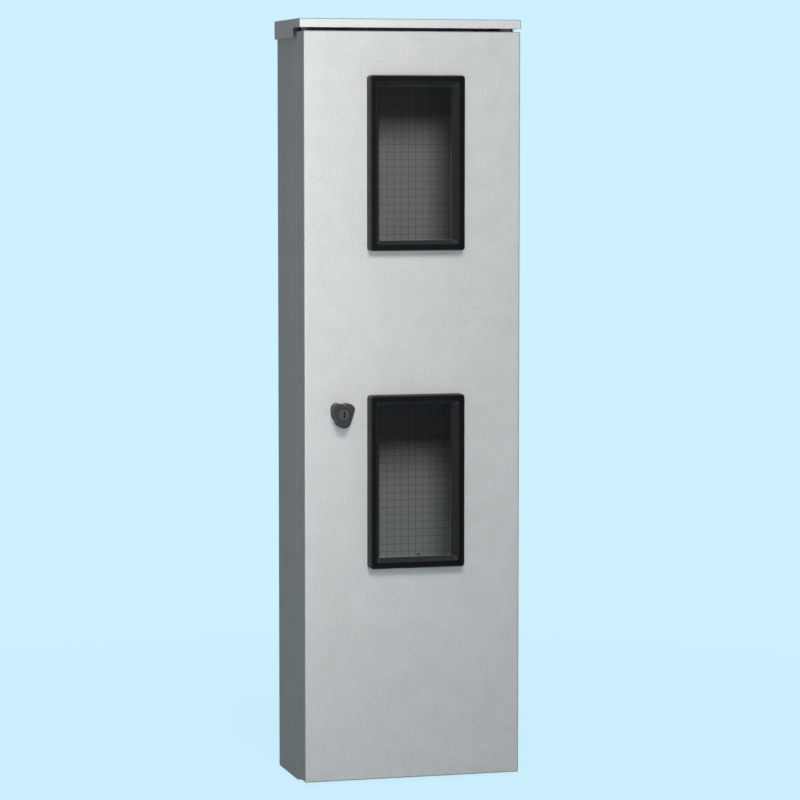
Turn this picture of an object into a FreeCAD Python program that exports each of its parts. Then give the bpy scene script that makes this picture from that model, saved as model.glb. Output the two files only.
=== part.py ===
import FreeCAD, Part
import math
import os
from FreeCAD import Vector

# Wall-mounted stainless steel meter box with a side-hung door and two glazed windows.
# Millimetres. +X to the right seen from the front, +Z up, the front looks along -Y.
# The origin is the middle of the four wall-fixing holes, on the back face.

# Case
CASE_WIDTH = 292.0
CASE_HEIGHT = 1000.0
CASE_DEPTH = 150.0
SHEET = 1.2
BEND_RADIUS = 2.0

# Wall-fixing holes in the back
WALL_HOLE_RADIUS = 4.5
WALL_HOLE_INSET_X = 26.0
WALL_HOLE_INSET_Z = 60.0

# Rim that the door closes over
RIM_STEP = 14.0
RIM_REACH = 30.0
PLATE_FLANGE = 14.0

# Roof cap
CAP_OVERHANG = 3.5
CAP_SET_BACK = 8.0
CAP_LIP = 11.6
CAP_SKIRT = 24.4
CAP_DOOR_GAP = 4.6
CAP_NOTCH_MARGIN = 2.0

# Door
DOOR_RETURN = 40.0
DOOR_GAP = 2.0
DOOR_LIFT = 3.6
SEAL_WIDTH = 10.0
SEAL_GAP = 0.3
SEAL_ROUNDING = 3.0
SEAL_CORNER_RADIUS = 8.0

# Heights of the windows and the knob, as shares of the case's height down from its top
UPPER_WINDOW_SHARE = 0.187
LOWER_WINDOW_SHARE = 0.602
KNOB_SHARE = 0.5117

# Windows
WINDOW_X = 2.0
FRAME_WIDTH = 127.6
FRAME_HEIGHT = 227.0
FRAME_PROUD = 18.0
FRAME_BAND = 8.5
FRAME_BEVEL = 5.0
FRAME_CORNER_RADIUS = 4.0
FRAME_EDGE_ROUNDING = 2.0
FRAME_SEAT = 5.0
GLASS_LIP = 1.0
GLASS_LIP_COVER = 3.5
GLASS_RECESS = 9.0
GLASS_THICKNESS = 4.0
GLASS_EDGE_GAP = 0.5
GLASS_CORNER_RADIUS = 2.0
GLASS_SEAL_WIDTH = 3.0
CUT_OUT_GAP = 0.2
CLAMP_THICKNESS = 2.2
CLAMP_INSET = 2.0
CLAMP_SCREW_RADIUS = 1.5
CLAMP_SCREW_LENGTH = 8.0
CLAMP_SCREW_HEAD_RADIUS = 3.0
CLAMP_SCREW_HEAD = 2.0
CLAMP_SCREW_INSET = 7.5
CLAMP_SCREW_PITCH = 85.0

# Knob and latch. The knob lies this share of the way from the door's edge to the window.
KNOB_MARGIN_SHARE = 0.568
KNOB_HEIGHT = 20.0
KNOB_LOBE_OFFSET = 6.4
KNOB_LOBE_RISE = 6.4
KNOB_LOBE_RADIUS = 7.6
KNOB_NOTCH_RADIUS = 3.0
KNOB_FOOT_DROP = 8.7
KNOB_FOOT_RADIUS = 9.0
KNOB_EDGE_ROUNDING = 2.0
KNOB_SOCKET_DEPTH = 9.0
PLUG_RADIUS = 8.0
PLUG_DEPTH = 10.0
PLUG_RECESS = 2.5
PLUG_BEVEL = 0.4
PLUG_MOUTH_BEVEL = 0.8
KEYWAY_WIDTH = 1.8
KEYWAY_LENGTH = 9.0
KEYWAY_DEPTH = 4.5
ROSE_RADIUS = 12.4
ROSE_THICKNESS = 4.0
ROSE_NECK_RADIUS = 10.0
ROSE_NECK_LENGTH = 12.0
ROSE_WASHER = 1.0
LOCKNUT_ACROSS = 26.0
LOCKNUT_THICKNESS = 4.0
SPINDLE_RADIUS = 6.0
SPINDLE_SQUARE = 8.0
STUD_END_RADIUS = 3.0
STUD_END_LENGTH = 7.0
CAM_THICKNESS = 2.5
CAM_HOLD = 6.5
CAM_WIDTH = 16.0
CAM_HUB_RADIUS = 11.0
CAM_WASHER_RADIUS = 8.0
CAM_WASHER_THICKNESS = 1.2
CAM_NUT_ACROSS = 10.0
CAM_NUT_THICKNESS = 4.8
KEEPER_SHEET = 2.0
KEEPER_MARGIN = 2.0
KEEPER_DROP = 24.0
KEEPER_STOP = 9.0

# Hinges
HINGE_COUNT = 3
HINGE_HEIGHT = 60.0
HINGE_END_INSET = 115.0
HINGE_LEAF = 2.0
HINGE_LEAF_REACH = 22.0
HINGE_BARREL_RADIUS = 4.0
HINGE_STAND_OFF = 4.5
HINGE_PIN_RADIUS = 2.5
HINGE_PIN_HEAD_RADIUS = 3.6
HINGE_PIN_HEAD = 1.5
HINGE_KNUCKLE_GAP = 0.3

# Meter boards
BOARD_WIDTH = 210.0
BOARD_TOP_GAP = 7.5
BOARD_SHEET = 1.6
BOARD_STAND_OFF = 16.0
BOARD_FLANGE = 10.0
BOARD_HOLE_INSET = 15.0
BOARD_SPACER_RADIUS = 6.0
BOARD_STUD_RADIUS = 2.5
BOARD_STUD_LENGTH = 8.0
BOARD_NUT_ACROSS = 8.0
BOARD_NUT_THICKNESS = 4.5
BOARD_NUT_FLANGE_RADIUS = 5.5
BOARD_NUT_FLANGE = 1.2
METER_SLOT_RADIUS = 3.0
METER_SLOT_LENGTH = 26.0
METER_TOP_SLOT_INSET = 35.3
METER_FOOT_SLOT_INSET = 22.3
METER_FOOT_SLOT_SPACING = 90.0

# Breaker rail
RAIL_LENGTH = 200.0
RAIL_WIDTH = 35.0
RAIL_DEPTH = 7.5
RAIL_SHEET = 1.0
RAIL_CHANNEL = 25.0
RAIL_RISE = 152.0
BRACKET_WIDTH = 20.0
BRACKET_SHEET = 1.5
BRACKET_HEIGHT = 36.0
BRACKET_FOOT = 10.0
BRACKET_DEPTH = 20.0
BRACKET_SPACING = 150.0
RAIL_SCREW_RADIUS = 2.5
RAIL_SCREW_LENGTH = 9.0
RAIL_SCREW_HEAD_RADIUS = 4.5
RAIL_SCREW_HEAD = 2.8

# Earth bar
EARTH_BAR_LENGTH = 110.0
EARTH_BAR_DEPTH = 10.0
EARTH_BAR_HEIGHT = 12.0
EARTH_BAR_STAND_OFF = 16.0
EARTH_BAR_RISE = 62.0
EARTH_TERMINALS = 6
EARTH_TERMINAL_PITCH = 14.0
EARTH_WIRE_HOLE_RADIUS = 2.5
EARTH_SCREW_RADIUS = 2.0
EARTH_SCREW_HEAD_RADIUS = 3.2
EARTH_SCREW_HEAD = 2.4
EARTH_POST_RADIUS = 5.0
EARTH_POST_INSET = 7.0
EARTH_POST_SCREW_LENGTH = 18.0

# Cable entries in the bottom plate
GROMMET_SPACING = 124.0
GROMMET_SET_BACK = 55.0
GROMMET_BORE_RADIUS = 16.0
GROMMET_HOLE_RADIUS = 22.0
GROMMET_FLANGE_RADIUS = 27.0
GROMMET_FLANGE = 3.0
GROMMET_FIT = 0.1

# Clearances
RUNNING_FIT = 0.05
HINGE_FIT = 0.08
SCREW_FIT = 0.05
HOLE_CLEARANCE = 0.25
MOVING_GAP = 0.3
CUT_MARGIN = 1.0
TOLERANCE = 1e-4

# Places that follow from the sizes
HALF_WIDTH = CASE_WIDTH / 2
TOP_Z = CASE_HEIGHT / 2
BOTTOM_Z = -CASE_HEIGHT / 2
FRONT_Y = -CASE_DEPTH
DOOR_INSIDE_Y = FRONT_Y + SHEET
DOOR_REAR_Y = FRONT_Y + DOOR_RETURN
FLANGE_Y = DOOR_REAR_Y + DOOR_GAP
FLANGE_INSIDE_Y = FLANGE_Y + SHEET
BACK_INSIDE_Y = -SHEET
SIDE_INSIDE_X = HALF_WIDTH - SHEET
RIM_X = HALF_WIDTH - RIM_STEP
RIM_FRONT_Y = FLANGE_Y - RIM_REACH
CAP_UNDER_Z = TOP_Z - SHEET
CAP_LIP_Z = TOP_Z - CAP_LIP
DOOR_TOP_Z = CAP_LIP_Z - CAP_DOOR_GAP
DOOR_BOTTOM_Z = BOTTOM_Z + DOOR_LIFT
RIM_TOP_Z = DOOR_TOP_Z - RIM_STEP
RIM_BOTTOM_Z = BOTTOM_Z + RIM_STEP
UPPER_WINDOW_Z = TOP_Z - UPPER_WINDOW_SHARE * CASE_HEIGHT
LOWER_WINDOW_Z = TOP_Z - LOWER_WINDOW_SHARE * CASE_HEIGHT
WINDOW_MARGIN = HALF_WIDTH + WINDOW_X - FRAME_WIDTH / 2
KNOB_X = KNOB_MARGIN_SHARE * WINDOW_MARGIN - HALF_WIDTH
KNOB_Z = TOP_Z - KNOB_SHARE * CASE_HEIGHT
ROSE_REAR_Y = FRONT_Y - ROSE_WASHER
ROSE_FRONT_Y = ROSE_REAR_Y - ROSE_THICKNESS
KNOB_REAR_Y = ROSE_FRONT_Y - MOVING_GAP
KNOB_FRONT_Y = KNOB_REAR_Y - KNOB_HEIGHT
KEEPER_REAR_Y = FLANGE_INSIDE_Y + KEEPER_SHEET
CAM_FRONT_Y = KEEPER_REAR_Y + MOVING_GAP
CAM_REAR_Y = CAM_FRONT_Y + CAM_THICKNESS
CAM_REACH = KNOB_X + RIM_X + CAM_HOLD
CAM_WASHER_REAR_Y = CAM_REAR_Y + CAM_WASHER_THICKNESS
HINGE_X = HALF_WIDTH + HINGE_STAND_OFF
HINGE_Y = (DOOR_REAR_Y + FLANGE_Y) / 2
BOARD_HEIGHT = 2 * (RIM_TOP_Z - UPPER_WINDOW_Z - BOARD_TOP_GAP)
METER_TOP_SLOT_RISE = BOARD_HEIGHT / 2 - METER_TOP_SLOT_INSET
METER_FOOT_SLOT_DROP = BOARD_HEIGHT / 2 - METER_FOOT_SLOT_INSET
BOARD_FACE_Y = -BOARD_STAND_OFF
BOARD_REAR_Y = BOARD_FACE_Y + BOARD_SHEET
RAIL_Z = RIM_BOTTOM_Z + RAIL_RISE
BRACKET_FACE_Y = BACK_INSIDE_Y - BRACKET_DEPTH
RAIL_FRONT_Y = BRACKET_FACE_Y - RAIL_DEPTH
RAIL_BASE_Y = BRACKET_FACE_Y - RAIL_SHEET
EARTH_BAR_Z = RIM_BOTTOM_Z + EARTH_BAR_RISE
EARTH_BAR_REAR_Y = BACK_INSIDE_Y - EARTH_BAR_STAND_OFF
EARTH_BAR_FACE_Y = EARTH_BAR_REAR_Y - EARTH_BAR_DEPTH
GROMMET_Y = -GROMMET_SET_BACK


def block(x0, x1, y0, y1, z0, z1):
    """Box between two corners."""
    return Part.makeBox(x1 - x0, y1 - y0, z1 - z0, Vector(x0, y0, z0))


def round_y(x, z, radius, y0, y1):
    """Round bar along Y."""
    return Part.makeCylinder(radius, y1 - y0, Vector(x, y0, z), Vector(0, 1, 0))


def round_z(x, y, radius, z0, z1):
    """Round bar along Z."""
    return Part.makeCylinder(radius, z1 - z0, Vector(x, y, z0), Vector(0, 0, 1))


def hexagon_y(x, z, across, y0, y1):
    """Hexagonal bar along Y."""
    corner = across / math.sqrt(3)
    turns = [math.radians(60 * i) for i in range(7)]
    points = [Vector(x + corner * math.cos(t), y0, z + corner * math.sin(t)) for t in turns]
    return Part.Face(Part.makePolygon(points)).extrude(Vector(0, y1 - y0, 0))


def rounded_wire(x, z, width, height, radius, y):
    """Rectangle with rounded corners, in a plane across Y."""
    wx = width / 2 - radius
    hz = height / 2 - radius
    edges = []
    for i, (sx, sz) in enumerate([(1, 1), (-1, 1), (-1, -1), (1, -1)]):
        centre = Vector(x + sx * wx, y, z + sz * hz)
        turns = [math.radians(90 * i + a) for a in (0, 45, 90)]
        arc = [centre + Vector(radius * math.cos(t), 0, radius * math.sin(t)) for t in turns]
        if edges:
            edges.append(Part.makeLine(edges[-1].lastVertex().Point, arc[0]))
        edges.append(Part.Arc(*arc).toShape())
    edges.append(Part.makeLine(edges[-1].lastVertex().Point, edges[0].firstVertex().Point))
    return Part.Wire(edges)


def rounded_slab(x, z, width, height, radius, y0, y1):
    """Slab with rounded corners between two planes across Y."""
    face = Part.Face(rounded_wire(x, z, width, height, radius, y0))
    return face.extrude(Vector(0, y1 - y0, 0))


def slot_z(x, z, radius, length, y0, y1):
    """Upright slot cutter along Y."""
    run = length / 2 - radius
    ends = [round_y(x, z + side * run, radius, y0, y1) for side in (-1, 1)]
    return block(x - radius, x + radius, y0, y1, z - run, z + run).fuse(ends)


def rounded_path(points, radii):
    """Lines through the points, with an arc of each inner point's radius."""
    edges = []
    start = points[0]
    for before, corner, after, radius in zip(points, points[1:], points[2:], radii):
        towards = (before - corner).normalize()
        away = (after - corner).normalize()
        half = towards.getAngle(away) / 2
        reach = radius / math.tan(half)
        arc_in = corner + towards * reach
        arc_out = corner + away * reach
        bisector = (towards + away).normalize()
        middle = corner + bisector * (radius / math.sin(half) - radius)
        edges.append(Part.makeLine(start, arc_in))
        edges.append(Part.Arc(arc_in, middle, arc_out).toShape())
        start = arc_out
    edges.append(Part.makeLine(start, points[-1]))
    return edges


def folded_strip(path, sheet, radius, place, extent):
    """Folded sheet: the sheet lies to the right of the path, and place puts (a, b) in space."""
    runs = []
    for (a0, b0), (a1, b1) in zip(path, path[1:]):
        length = math.hypot(a1 - a0, b1 - b0)
        runs.append(((a1 - a0) / length, (b1 - b0) / length))
    near_radii = []
    far_radii = []
    far = [(path[0][0] + runs[0][1] * sheet, path[0][1] - runs[0][0] * sheet)]
    for corner, before, after in zip(path[1:], runs, runs[1:]):
        turn = before[0] * after[1] - before[1] * after[0]
        near_radii.append(radius if turn < 0 else radius - sheet)
        far_radii.append(radius - sheet if turn < 0 else radius)
        far.append((corner[0] + (before[1] + after[1]) * sheet,
                    corner[1] - (before[0] + after[0]) * sheet))
    far.append((path[-1][0] + runs[-1][1] * sheet, path[-1][1] - runs[-1][0] * sheet))
    near = rounded_path([place(a, b) for a, b in path], near_radii)
    back = rounded_path([place(a, b) for a, b in reversed(far)], list(reversed(far_radii)))
    near_end = Part.makeLine(place(*path[-1]), place(*far[-1]))
    far_end = Part.makeLine(place(*far[0]), place(*path[0]))
    wire = Part.Wire(near + [near_end] + back + [far_end])
    return Part.Face(wire).extrude(extent)


def rounded_block(low, high, open_sides, radius):
    """Box with every edge rounded that touches none of the open sides."""
    body = block(low[0], high[0], low[1], high[1], low[2], high[2])
    chosen = []
    for edge in body.Edges:
        centre = edge.CenterOfMass
        sides = set()
        for axis in range(3):
            if abs(centre[axis] - low[axis]) < TOLERANCE:
                sides.add((axis, "low"))
            if abs(centre[axis] - high[axis]) < TOLERANCE:
                sides.add((axis, "high"))
        if not sides & open_sides:
            chosen.append(edge)
    return body.makeFillet(radius, chosen)


def tray(low, high, open_sides, sheet, radius):
    """Folded tray with its corners welded and dressed."""
    inner_low = list(low)
    inner_high = list(high)
    for axis in range(3):
        inner_low[axis] += -CUT_MARGIN if (axis, "low") in open_sides else sheet
        inner_high[axis] -= -CUT_MARGIN if (axis, "high") in open_sides else sheet
    outer = rounded_block(low, high, open_sides, radius)
    return outer.cut(rounded_block(inner_low, inner_high, open_sides, radius - sheet))


def round_edges(shape, radius, test):
    """Round the edges whose centre passes the test."""
    return shape.makeFillet(radius, [edge for edge in shape.Edges if test(edge.CenterOfMass)])


def bevel_edges(shape, size, y):
    """Bevel the edges that lie in one plane across Y."""
    edges = [edge for edge in shape.Edges
             if abs(edge.BoundBox.YMin - y) < TOLERANCE and abs(edge.BoundBox.YMax - y) < TOLERANCE]
    return shape.makeChamfer(size, edges)


def wall_hole_places():
    """The four wall-fixing holes, as (x, z)."""
    half_x = HALF_WIDTH - WALL_HOLE_INSET_X
    half_z = TOP_Z - WALL_HOLE_INSET_Z
    return [(sx * half_x, sz * half_z) for sx in (-1, 1) for sz in (-1, 1)]


def make_back_and_sides():
    """Back, sides, front flanges and upright rims, folded from one sheet."""
    path = [(-RIM_X, RIM_FRONT_Y), (-RIM_X, FLANGE_Y), (-HALF_WIDTH, FLANGE_Y), (-HALF_WIDTH, 0),
            (HALF_WIDTH, 0), (HALF_WIDTH, FLANGE_Y), (RIM_X, FLANGE_Y), (RIM_X, RIM_FRONT_Y)]
    shell = folded_strip(path, SHEET, BEND_RADIUS, lambda x, y: Vector(x, y, BOTTOM_Z),
                         Vector(0, 0, CAP_UNDER_Z - BOTTOM_Z))
    rim_front = RIM_FRONT_Y - CUT_MARGIN
    above = block(-HALF_WIDTH, HALF_WIDTH, rim_front, FLANGE_Y, RIM_TOP_Z, TOP_Z)
    below = block(-HALF_WIDTH, HALF_WIDTH, rim_front, FLANGE_Y, BOTTOM_Z - CUT_MARGIN, RIM_BOTTOM_Z)
    holes = [round_y(x, z, WALL_HOLE_RADIUS, BACK_INSIDE_Y - CUT_MARGIN, CUT_MARGIN)
             for x, z in wall_hole_places()]
    return shell.cut([above, below] + holes)


def make_end_plate(face_z, flange_z):
    """Top or bottom plate: three welded flanges and a tongue that makes the level rim."""
    inside_z = face_z + SHEET if flange_z < face_z else face_z - SHEET
    low = (-SIDE_INSIDE_X, RIM_FRONT_Y, min(inside_z, flange_z))
    high = (SIDE_INSIDE_X, BACK_INSIDE_Y, max(inside_z, flange_z))
    open_sides = {(1, "low"), (2, "low" if flange_z < face_z else "high")}
    plate = tray(low, high, open_sides, SHEET, BEND_RADIUS)
    tongue_x = RIM_X - SHEET
    notches = [block(min(side * tongue_x, side * HALF_WIDTH), max(side * tongue_x, side * HALF_WIDTH),
                     RIM_FRONT_Y - CUT_MARGIN, FLANGE_INSIDE_Y + BEND_RADIUS - SHEET,
                     low[2] - CUT_MARGIN, high[2] + CUT_MARGIN)
               for side in (-1, 1)]
    return plate.cut(notches)


def grommet_places():
    """Cable entries, as x."""
    return {"left": -GROMMET_SPACING / 2, "right": GROMMET_SPACING / 2}


def make_bottom_plate():
    """Bottom plate with the two cable entries."""
    plate = make_end_plate(RIM_BOTTOM_Z, RIM_BOTTOM_Z - PLATE_FLANGE)
    holes = [round_z(x, GROMMET_Y, GROMMET_HOLE_RADIUS, BOTTOM_Z, RIM_BOTTOM_Z + SHEET + CUT_MARGIN)
             for x in grommet_places().values()]
    return plate.cut(holes)


def make_top_plate():
    """Top plate under the roof cap."""
    return make_end_plate(RIM_TOP_Z, RIM_TOP_Z + PLATE_FLANGE)


def make_roof_cap():
    """Roof cap: a tray with a shallow lip over the door and deeper skirts behind it."""
    half = HALF_WIDTH + CAP_OVERHANG
    front = FRONT_Y + CAP_SET_BACK
    skirt_z = TOP_Z - CAP_SKIRT
    cap = tray((-half, front, skirt_z), (half, 0, TOP_Z), {(2, "low"), (1, "high")}, SHEET, BEND_RADIUS)
    notch = block(-half - CUT_MARGIN, half + CUT_MARGIN, front - CUT_MARGIN, FLANGE_Y + CAP_NOTCH_MARGIN,
                  skirt_z - CUT_MARGIN, CAP_LIP_Z)
    return cap.cut(notch)


def make_grommet(x):
    """Rubber grommet that grips the plate's edge between two flanges."""
    low_z = RIM_BOTTOM_Z - GROMMET_FLANGE
    high_z = RIM_BOTTOM_Z + SHEET + GROMMET_FLANGE
    core = round_z(x, GROMMET_Y, GROMMET_HOLE_RADIUS - GROMMET_FIT, low_z, high_z)
    lower = round_z(x, GROMMET_Y, GROMMET_FLANGE_RADIUS, low_z, RIM_BOTTOM_Z)
    upper = round_z(x, GROMMET_Y, GROMMET_FLANGE_RADIUS, RIM_BOTTOM_Z + SHEET, high_z)
    bore = round_z(x, GROMMET_Y, GROMMET_BORE_RADIUS, low_z - CUT_MARGIN, high_z + CUT_MARGIN)
    body = core.fuse([lower, upper]).cut(bore)
    return body.removeSplitter()


def board_hole_places(centre_z):
    """The four board fixings, as (x, z)."""
    half_x = BOARD_WIDTH / 2 - BOARD_HOLE_INSET
    half_z = BOARD_HEIGHT / 2 - BOARD_HOLE_INSET
    return [(sx * half_x, centre_z + sz * half_z) for sx in (-1, 1) for sz in (-1, 1)]


def make_meter_board(centre_z):
    """Meter board with two folded edges, fixing holes and three meter slots."""
    half = BOARD_WIDTH / 2
    rear = BOARD_FACE_Y + BOARD_FLANGE
    path = [(half, rear), (half, BOARD_FACE_Y), (-half, BOARD_FACE_Y), (-half, rear)]
    board = folded_strip(path, BOARD_SHEET, BEND_RADIUS,
                         lambda x, y: Vector(x, y, centre_z - BOARD_HEIGHT / 2), Vector(0, 0, BOARD_HEIGHT))
    y0 = BOARD_FACE_Y - CUT_MARGIN
    y1 = BOARD_REAR_Y + CUT_MARGIN
    cuts = [round_y(x, z, BOARD_STUD_RADIUS + HOLE_CLEARANCE, y0, y1)
            for x, z in board_hole_places(centre_z)]
    cuts.append(slot_z(0, centre_z + METER_TOP_SLOT_RISE, METER_SLOT_RADIUS, METER_SLOT_LENGTH, y0, y1))
    for side in (-1, 1):
        cuts.append(slot_z(side * METER_FOOT_SLOT_SPACING / 2, centre_z - METER_FOOT_SLOT_DROP,
                           METER_SLOT_RADIUS, METER_SLOT_LENGTH, y0, y1))
    return board.cut(cuts)


def make_board_stud(x, z):
    """Welded spacer with the stud that carries a board."""
    spacer = round_y(x, z, BOARD_SPACER_RADIUS, BOARD_REAR_Y, BACK_INSIDE_Y)
    stud = round_y(x, z, BOARD_STUD_RADIUS, BOARD_FACE_Y - BOARD_STUD_LENGTH, BOARD_REAR_Y)
    return spacer.fuse(stud)


def make_board_nut(x, z):
    """Flanged nut on a board stud."""
    flange = round_y(x, z, BOARD_NUT_FLANGE_RADIUS, BOARD_FACE_Y - BOARD_NUT_FLANGE, BOARD_FACE_Y)
    body = hexagon_y(x, z, BOARD_NUT_ACROSS, BOARD_FACE_Y - BOARD_NUT_THICKNESS, BOARD_FACE_Y)
    bore = round_y(x, z, BOARD_STUD_RADIUS + SCREW_FIT, BOARD_FACE_Y - BOARD_NUT_THICKNESS - CUT_MARGIN,
                   BOARD_FACE_Y + CUT_MARGIN)
    return flange.fuse(body).cut(bore)


def make_screw(x, z, radius, length, head_radius, head, seat_y):
    """Pan-head screw that points to the back from its seat."""
    top = round_y(x, z, head_radius, seat_y - head, seat_y)
    top = bevel_edges(top, head / 2, seat_y - head)
    return top.fuse(round_y(x, z, radius, seat_y, seat_y + length))


def bracket_places():
    """The two rail brackets, as x."""
    return {"left": -BRACKET_SPACING / 2, "right": BRACKET_SPACING / 2}


def make_rail_bracket(x):
    """Hat-shaped bracket spot-welded to the back."""
    half = BRACKET_HEIGHT / 2
    foot = half + BRACKET_FOOT
    foot_y = BACK_INSIDE_Y - BRACKET_SHEET
    path = [(foot, foot_y), (half, foot_y), (half, BRACKET_FACE_Y),
            (-half, BRACKET_FACE_Y), (-half, foot_y), (-foot, foot_y)]
    bracket = folded_strip(path, BRACKET_SHEET, BEND_RADIUS,
                           lambda z, y: Vector(x - BRACKET_WIDTH / 2, y, RAIL_Z + z),
                           Vector(BRACKET_WIDTH, 0, 0))
    hole = round_y(x, RAIL_Z, RAIL_SCREW_RADIUS + SCREW_FIT, BRACKET_FACE_Y - CUT_MARGIN,
                   BRACKET_FACE_Y + BRACKET_SHEET + CUT_MARGIN)
    return bracket.cut(hole)


def make_breaker_rail():
    """Top-hat rail for breakers."""
    lip = RAIL_WIDTH / 2
    channel = RAIL_CHANNEL / 2
    path = [(lip, RAIL_FRONT_Y), (channel, RAIL_FRONT_Y), (channel, RAIL_BASE_Y),
            (-channel, RAIL_BASE_Y), (-channel, RAIL_FRONT_Y), (-lip, RAIL_FRONT_Y)]
    rail = folded_strip(path, RAIL_SHEET, RAIL_SHEET * 1.5,
                        lambda z, y: Vector(-RAIL_LENGTH / 2, y, RAIL_Z + z), Vector(RAIL_LENGTH, 0, 0))
    holes = [round_y(x, RAIL_Z, RAIL_SCREW_RADIUS + HOLE_CLEARANCE, RAIL_FRONT_Y, BACK_INSIDE_Y)
             for x in bracket_places().values()]
    return rail.cut(holes)


def make_rail_screws():
    """Screws that hold the rail to its brackets."""
    return [make_screw(x, RAIL_Z, RAIL_SCREW_RADIUS, RAIL_SCREW_LENGTH, RAIL_SCREW_HEAD_RADIUS,
                       RAIL_SCREW_HEAD, RAIL_BASE_Y) for x in bracket_places().values()]


def earth_terminal_places():
    """The earth bar's terminals, as x."""
    first = -(EARTH_TERMINALS - 1) * EARTH_TERMINAL_PITCH / 2
    return [first + i * EARTH_TERMINAL_PITCH for i in range(EARTH_TERMINALS)]


def earth_post_places():
    """The earth bar's two posts, as x."""
    half = EARTH_BAR_LENGTH / 2 - EARTH_POST_INSET
    return [-half, half]


def make_earth_bar():
    """Brass bar with upright wire holes, each with its terminal screw's hole."""
    half = EARTH_BAR_HEIGHT / 2
    bar = block(-EARTH_BAR_LENGTH / 2, EARTH_BAR_LENGTH / 2, EARTH_BAR_FACE_Y, EARTH_BAR_REAR_Y,
                EARTH_BAR_Z - half, EARTH_BAR_Z + half)
    middle_y = (EARTH_BAR_FACE_Y + EARTH_BAR_REAR_Y) / 2
    cuts = []
    for x in earth_terminal_places():
        cuts.append(round_z(x, middle_y, EARTH_WIRE_HOLE_RADIUS, EARTH_BAR_Z - half - CUT_MARGIN,
                            EARTH_BAR_Z + half + CUT_MARGIN))
        cuts.append(round_y(x, EARTH_BAR_Z, EARTH_SCREW_RADIUS + SCREW_FIT,
                            EARTH_BAR_FACE_Y - CUT_MARGIN, middle_y))
    for x in earth_post_places():
        cuts.append(round_y(x, EARTH_BAR_Z, EARTH_SCREW_RADIUS + HOLE_CLEARANCE,
                            EARTH_BAR_FACE_Y - CUT_MARGIN, EARTH_BAR_REAR_Y + CUT_MARGIN))
    return bar.cut(cuts)


def make_earth_posts():
    """Posts welded to the back, drilled for the bar's screws."""
    depth = EARTH_BAR_FACE_Y + EARTH_POST_SCREW_LENGTH + CUT_MARGIN
    return [round_y(x, EARTH_BAR_Z, EARTH_POST_RADIUS, EARTH_BAR_REAR_Y, BACK_INSIDE_Y)
            .cut(round_y(x, EARTH_BAR_Z, EARTH_SCREW_RADIUS + SCREW_FIT, EARTH_BAR_FACE_Y, depth))
            for x in earth_post_places()]


def make_earth_screws():
    """Terminal screws over the wire holes, and the two that hold the bar."""
    wire_gap = EARTH_BAR_DEPTH / 2 - EARTH_WIRE_HOLE_RADIUS
    terminals = [make_screw(x, EARTH_BAR_Z, EARTH_SCREW_RADIUS, wire_gap, EARTH_SCREW_HEAD_RADIUS,
                            EARTH_SCREW_HEAD, EARTH_BAR_FACE_Y) for x in earth_terminal_places()]
    fixings = [make_screw(x, EARTH_BAR_Z, EARTH_SCREW_RADIUS, EARTH_POST_SCREW_LENGTH,
                          EARTH_SCREW_HEAD_RADIUS, EARTH_SCREW_HEAD, EARTH_BAR_FACE_Y)
               for x in earth_post_places()]
    return terminals + fixings


def make_latch_keeper():
    """Keeper welded behind the left flange, with a tab that stops the cam."""
    x0 = -SIDE_INSIDE_X + KEEPER_MARGIN
    width = -RIM_X - x0
    stop_z = KNOB_Z + CAM_WIDTH / 2 + MOVING_GAP
    path = [(stop_z + KEEPER_SHEET, FLANGE_INSIDE_Y + KEEPER_STOP + KEEPER_SHEET),
            (stop_z + KEEPER_SHEET, FLANGE_INSIDE_Y), (KNOB_Z - KEEPER_DROP, FLANGE_INSIDE_Y)]
    keeper = folded_strip(path, KEEPER_SHEET, KEEPER_SHEET + MOVING_GAP,
                          lambda z, y: Vector(x0, y, z), Vector(width, 0, 0))
    ramp = [edge for edge in keeper.Edges
            if abs(edge.CenterOfMass.z - (KNOB_Z - KEEPER_DROP)) < TOLERANCE
            and abs(edge.CenterOfMass.y - KEEPER_REAR_Y) < TOLERANCE]
    return keeper.makeChamfer(KEEPER_SHEET * 0.7, ramp)


def hinge_places():
    """The hinges' middles from the top down, as z."""
    top = DOOR_TOP_Z - HINGE_END_INSET
    pitch = (top - DOOR_BOTTOM_Z - HINGE_END_INSET) / (HINGE_COUNT - 1)
    return [top - i * pitch for i in range(HINGE_COUNT)]


def make_hinge_leaf(centre_z, side, knuckles, bore):
    """Hinge leaf: side is 1 behind the barrel and -1 in front of it."""
    x0 = HALF_WIDTH
    x1 = HALF_WIDTH + HINGE_LEAF
    half = HINGE_HEIGHT / 2
    near = HINGE_Y + side * HINGE_BARREL_RADIUS
    far = near + side * HINGE_LEAF_REACH
    leaf = block(x0, x1, min(near, far), max(near, far), centre_z - half, centre_z + half)
    pieces = []
    bores = []
    for z0, z1 in knuckles:
        pieces.append(round_z(HINGE_X, HINGE_Y, HINGE_BARREL_RADIUS, centre_z + z0, centre_z + z1))
        pieces.append(block(x0, x1, min(HINGE_Y, near), max(HINGE_Y, near), centre_z + z0, centre_z + z1))
        bores.append(round_z(HINGE_X, HINGE_Y, bore, centre_z + z0 - CUT_MARGIN, centre_z + z1 + CUT_MARGIN))
    return leaf.fuse(pieces).cut(bores).removeSplitter()


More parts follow.
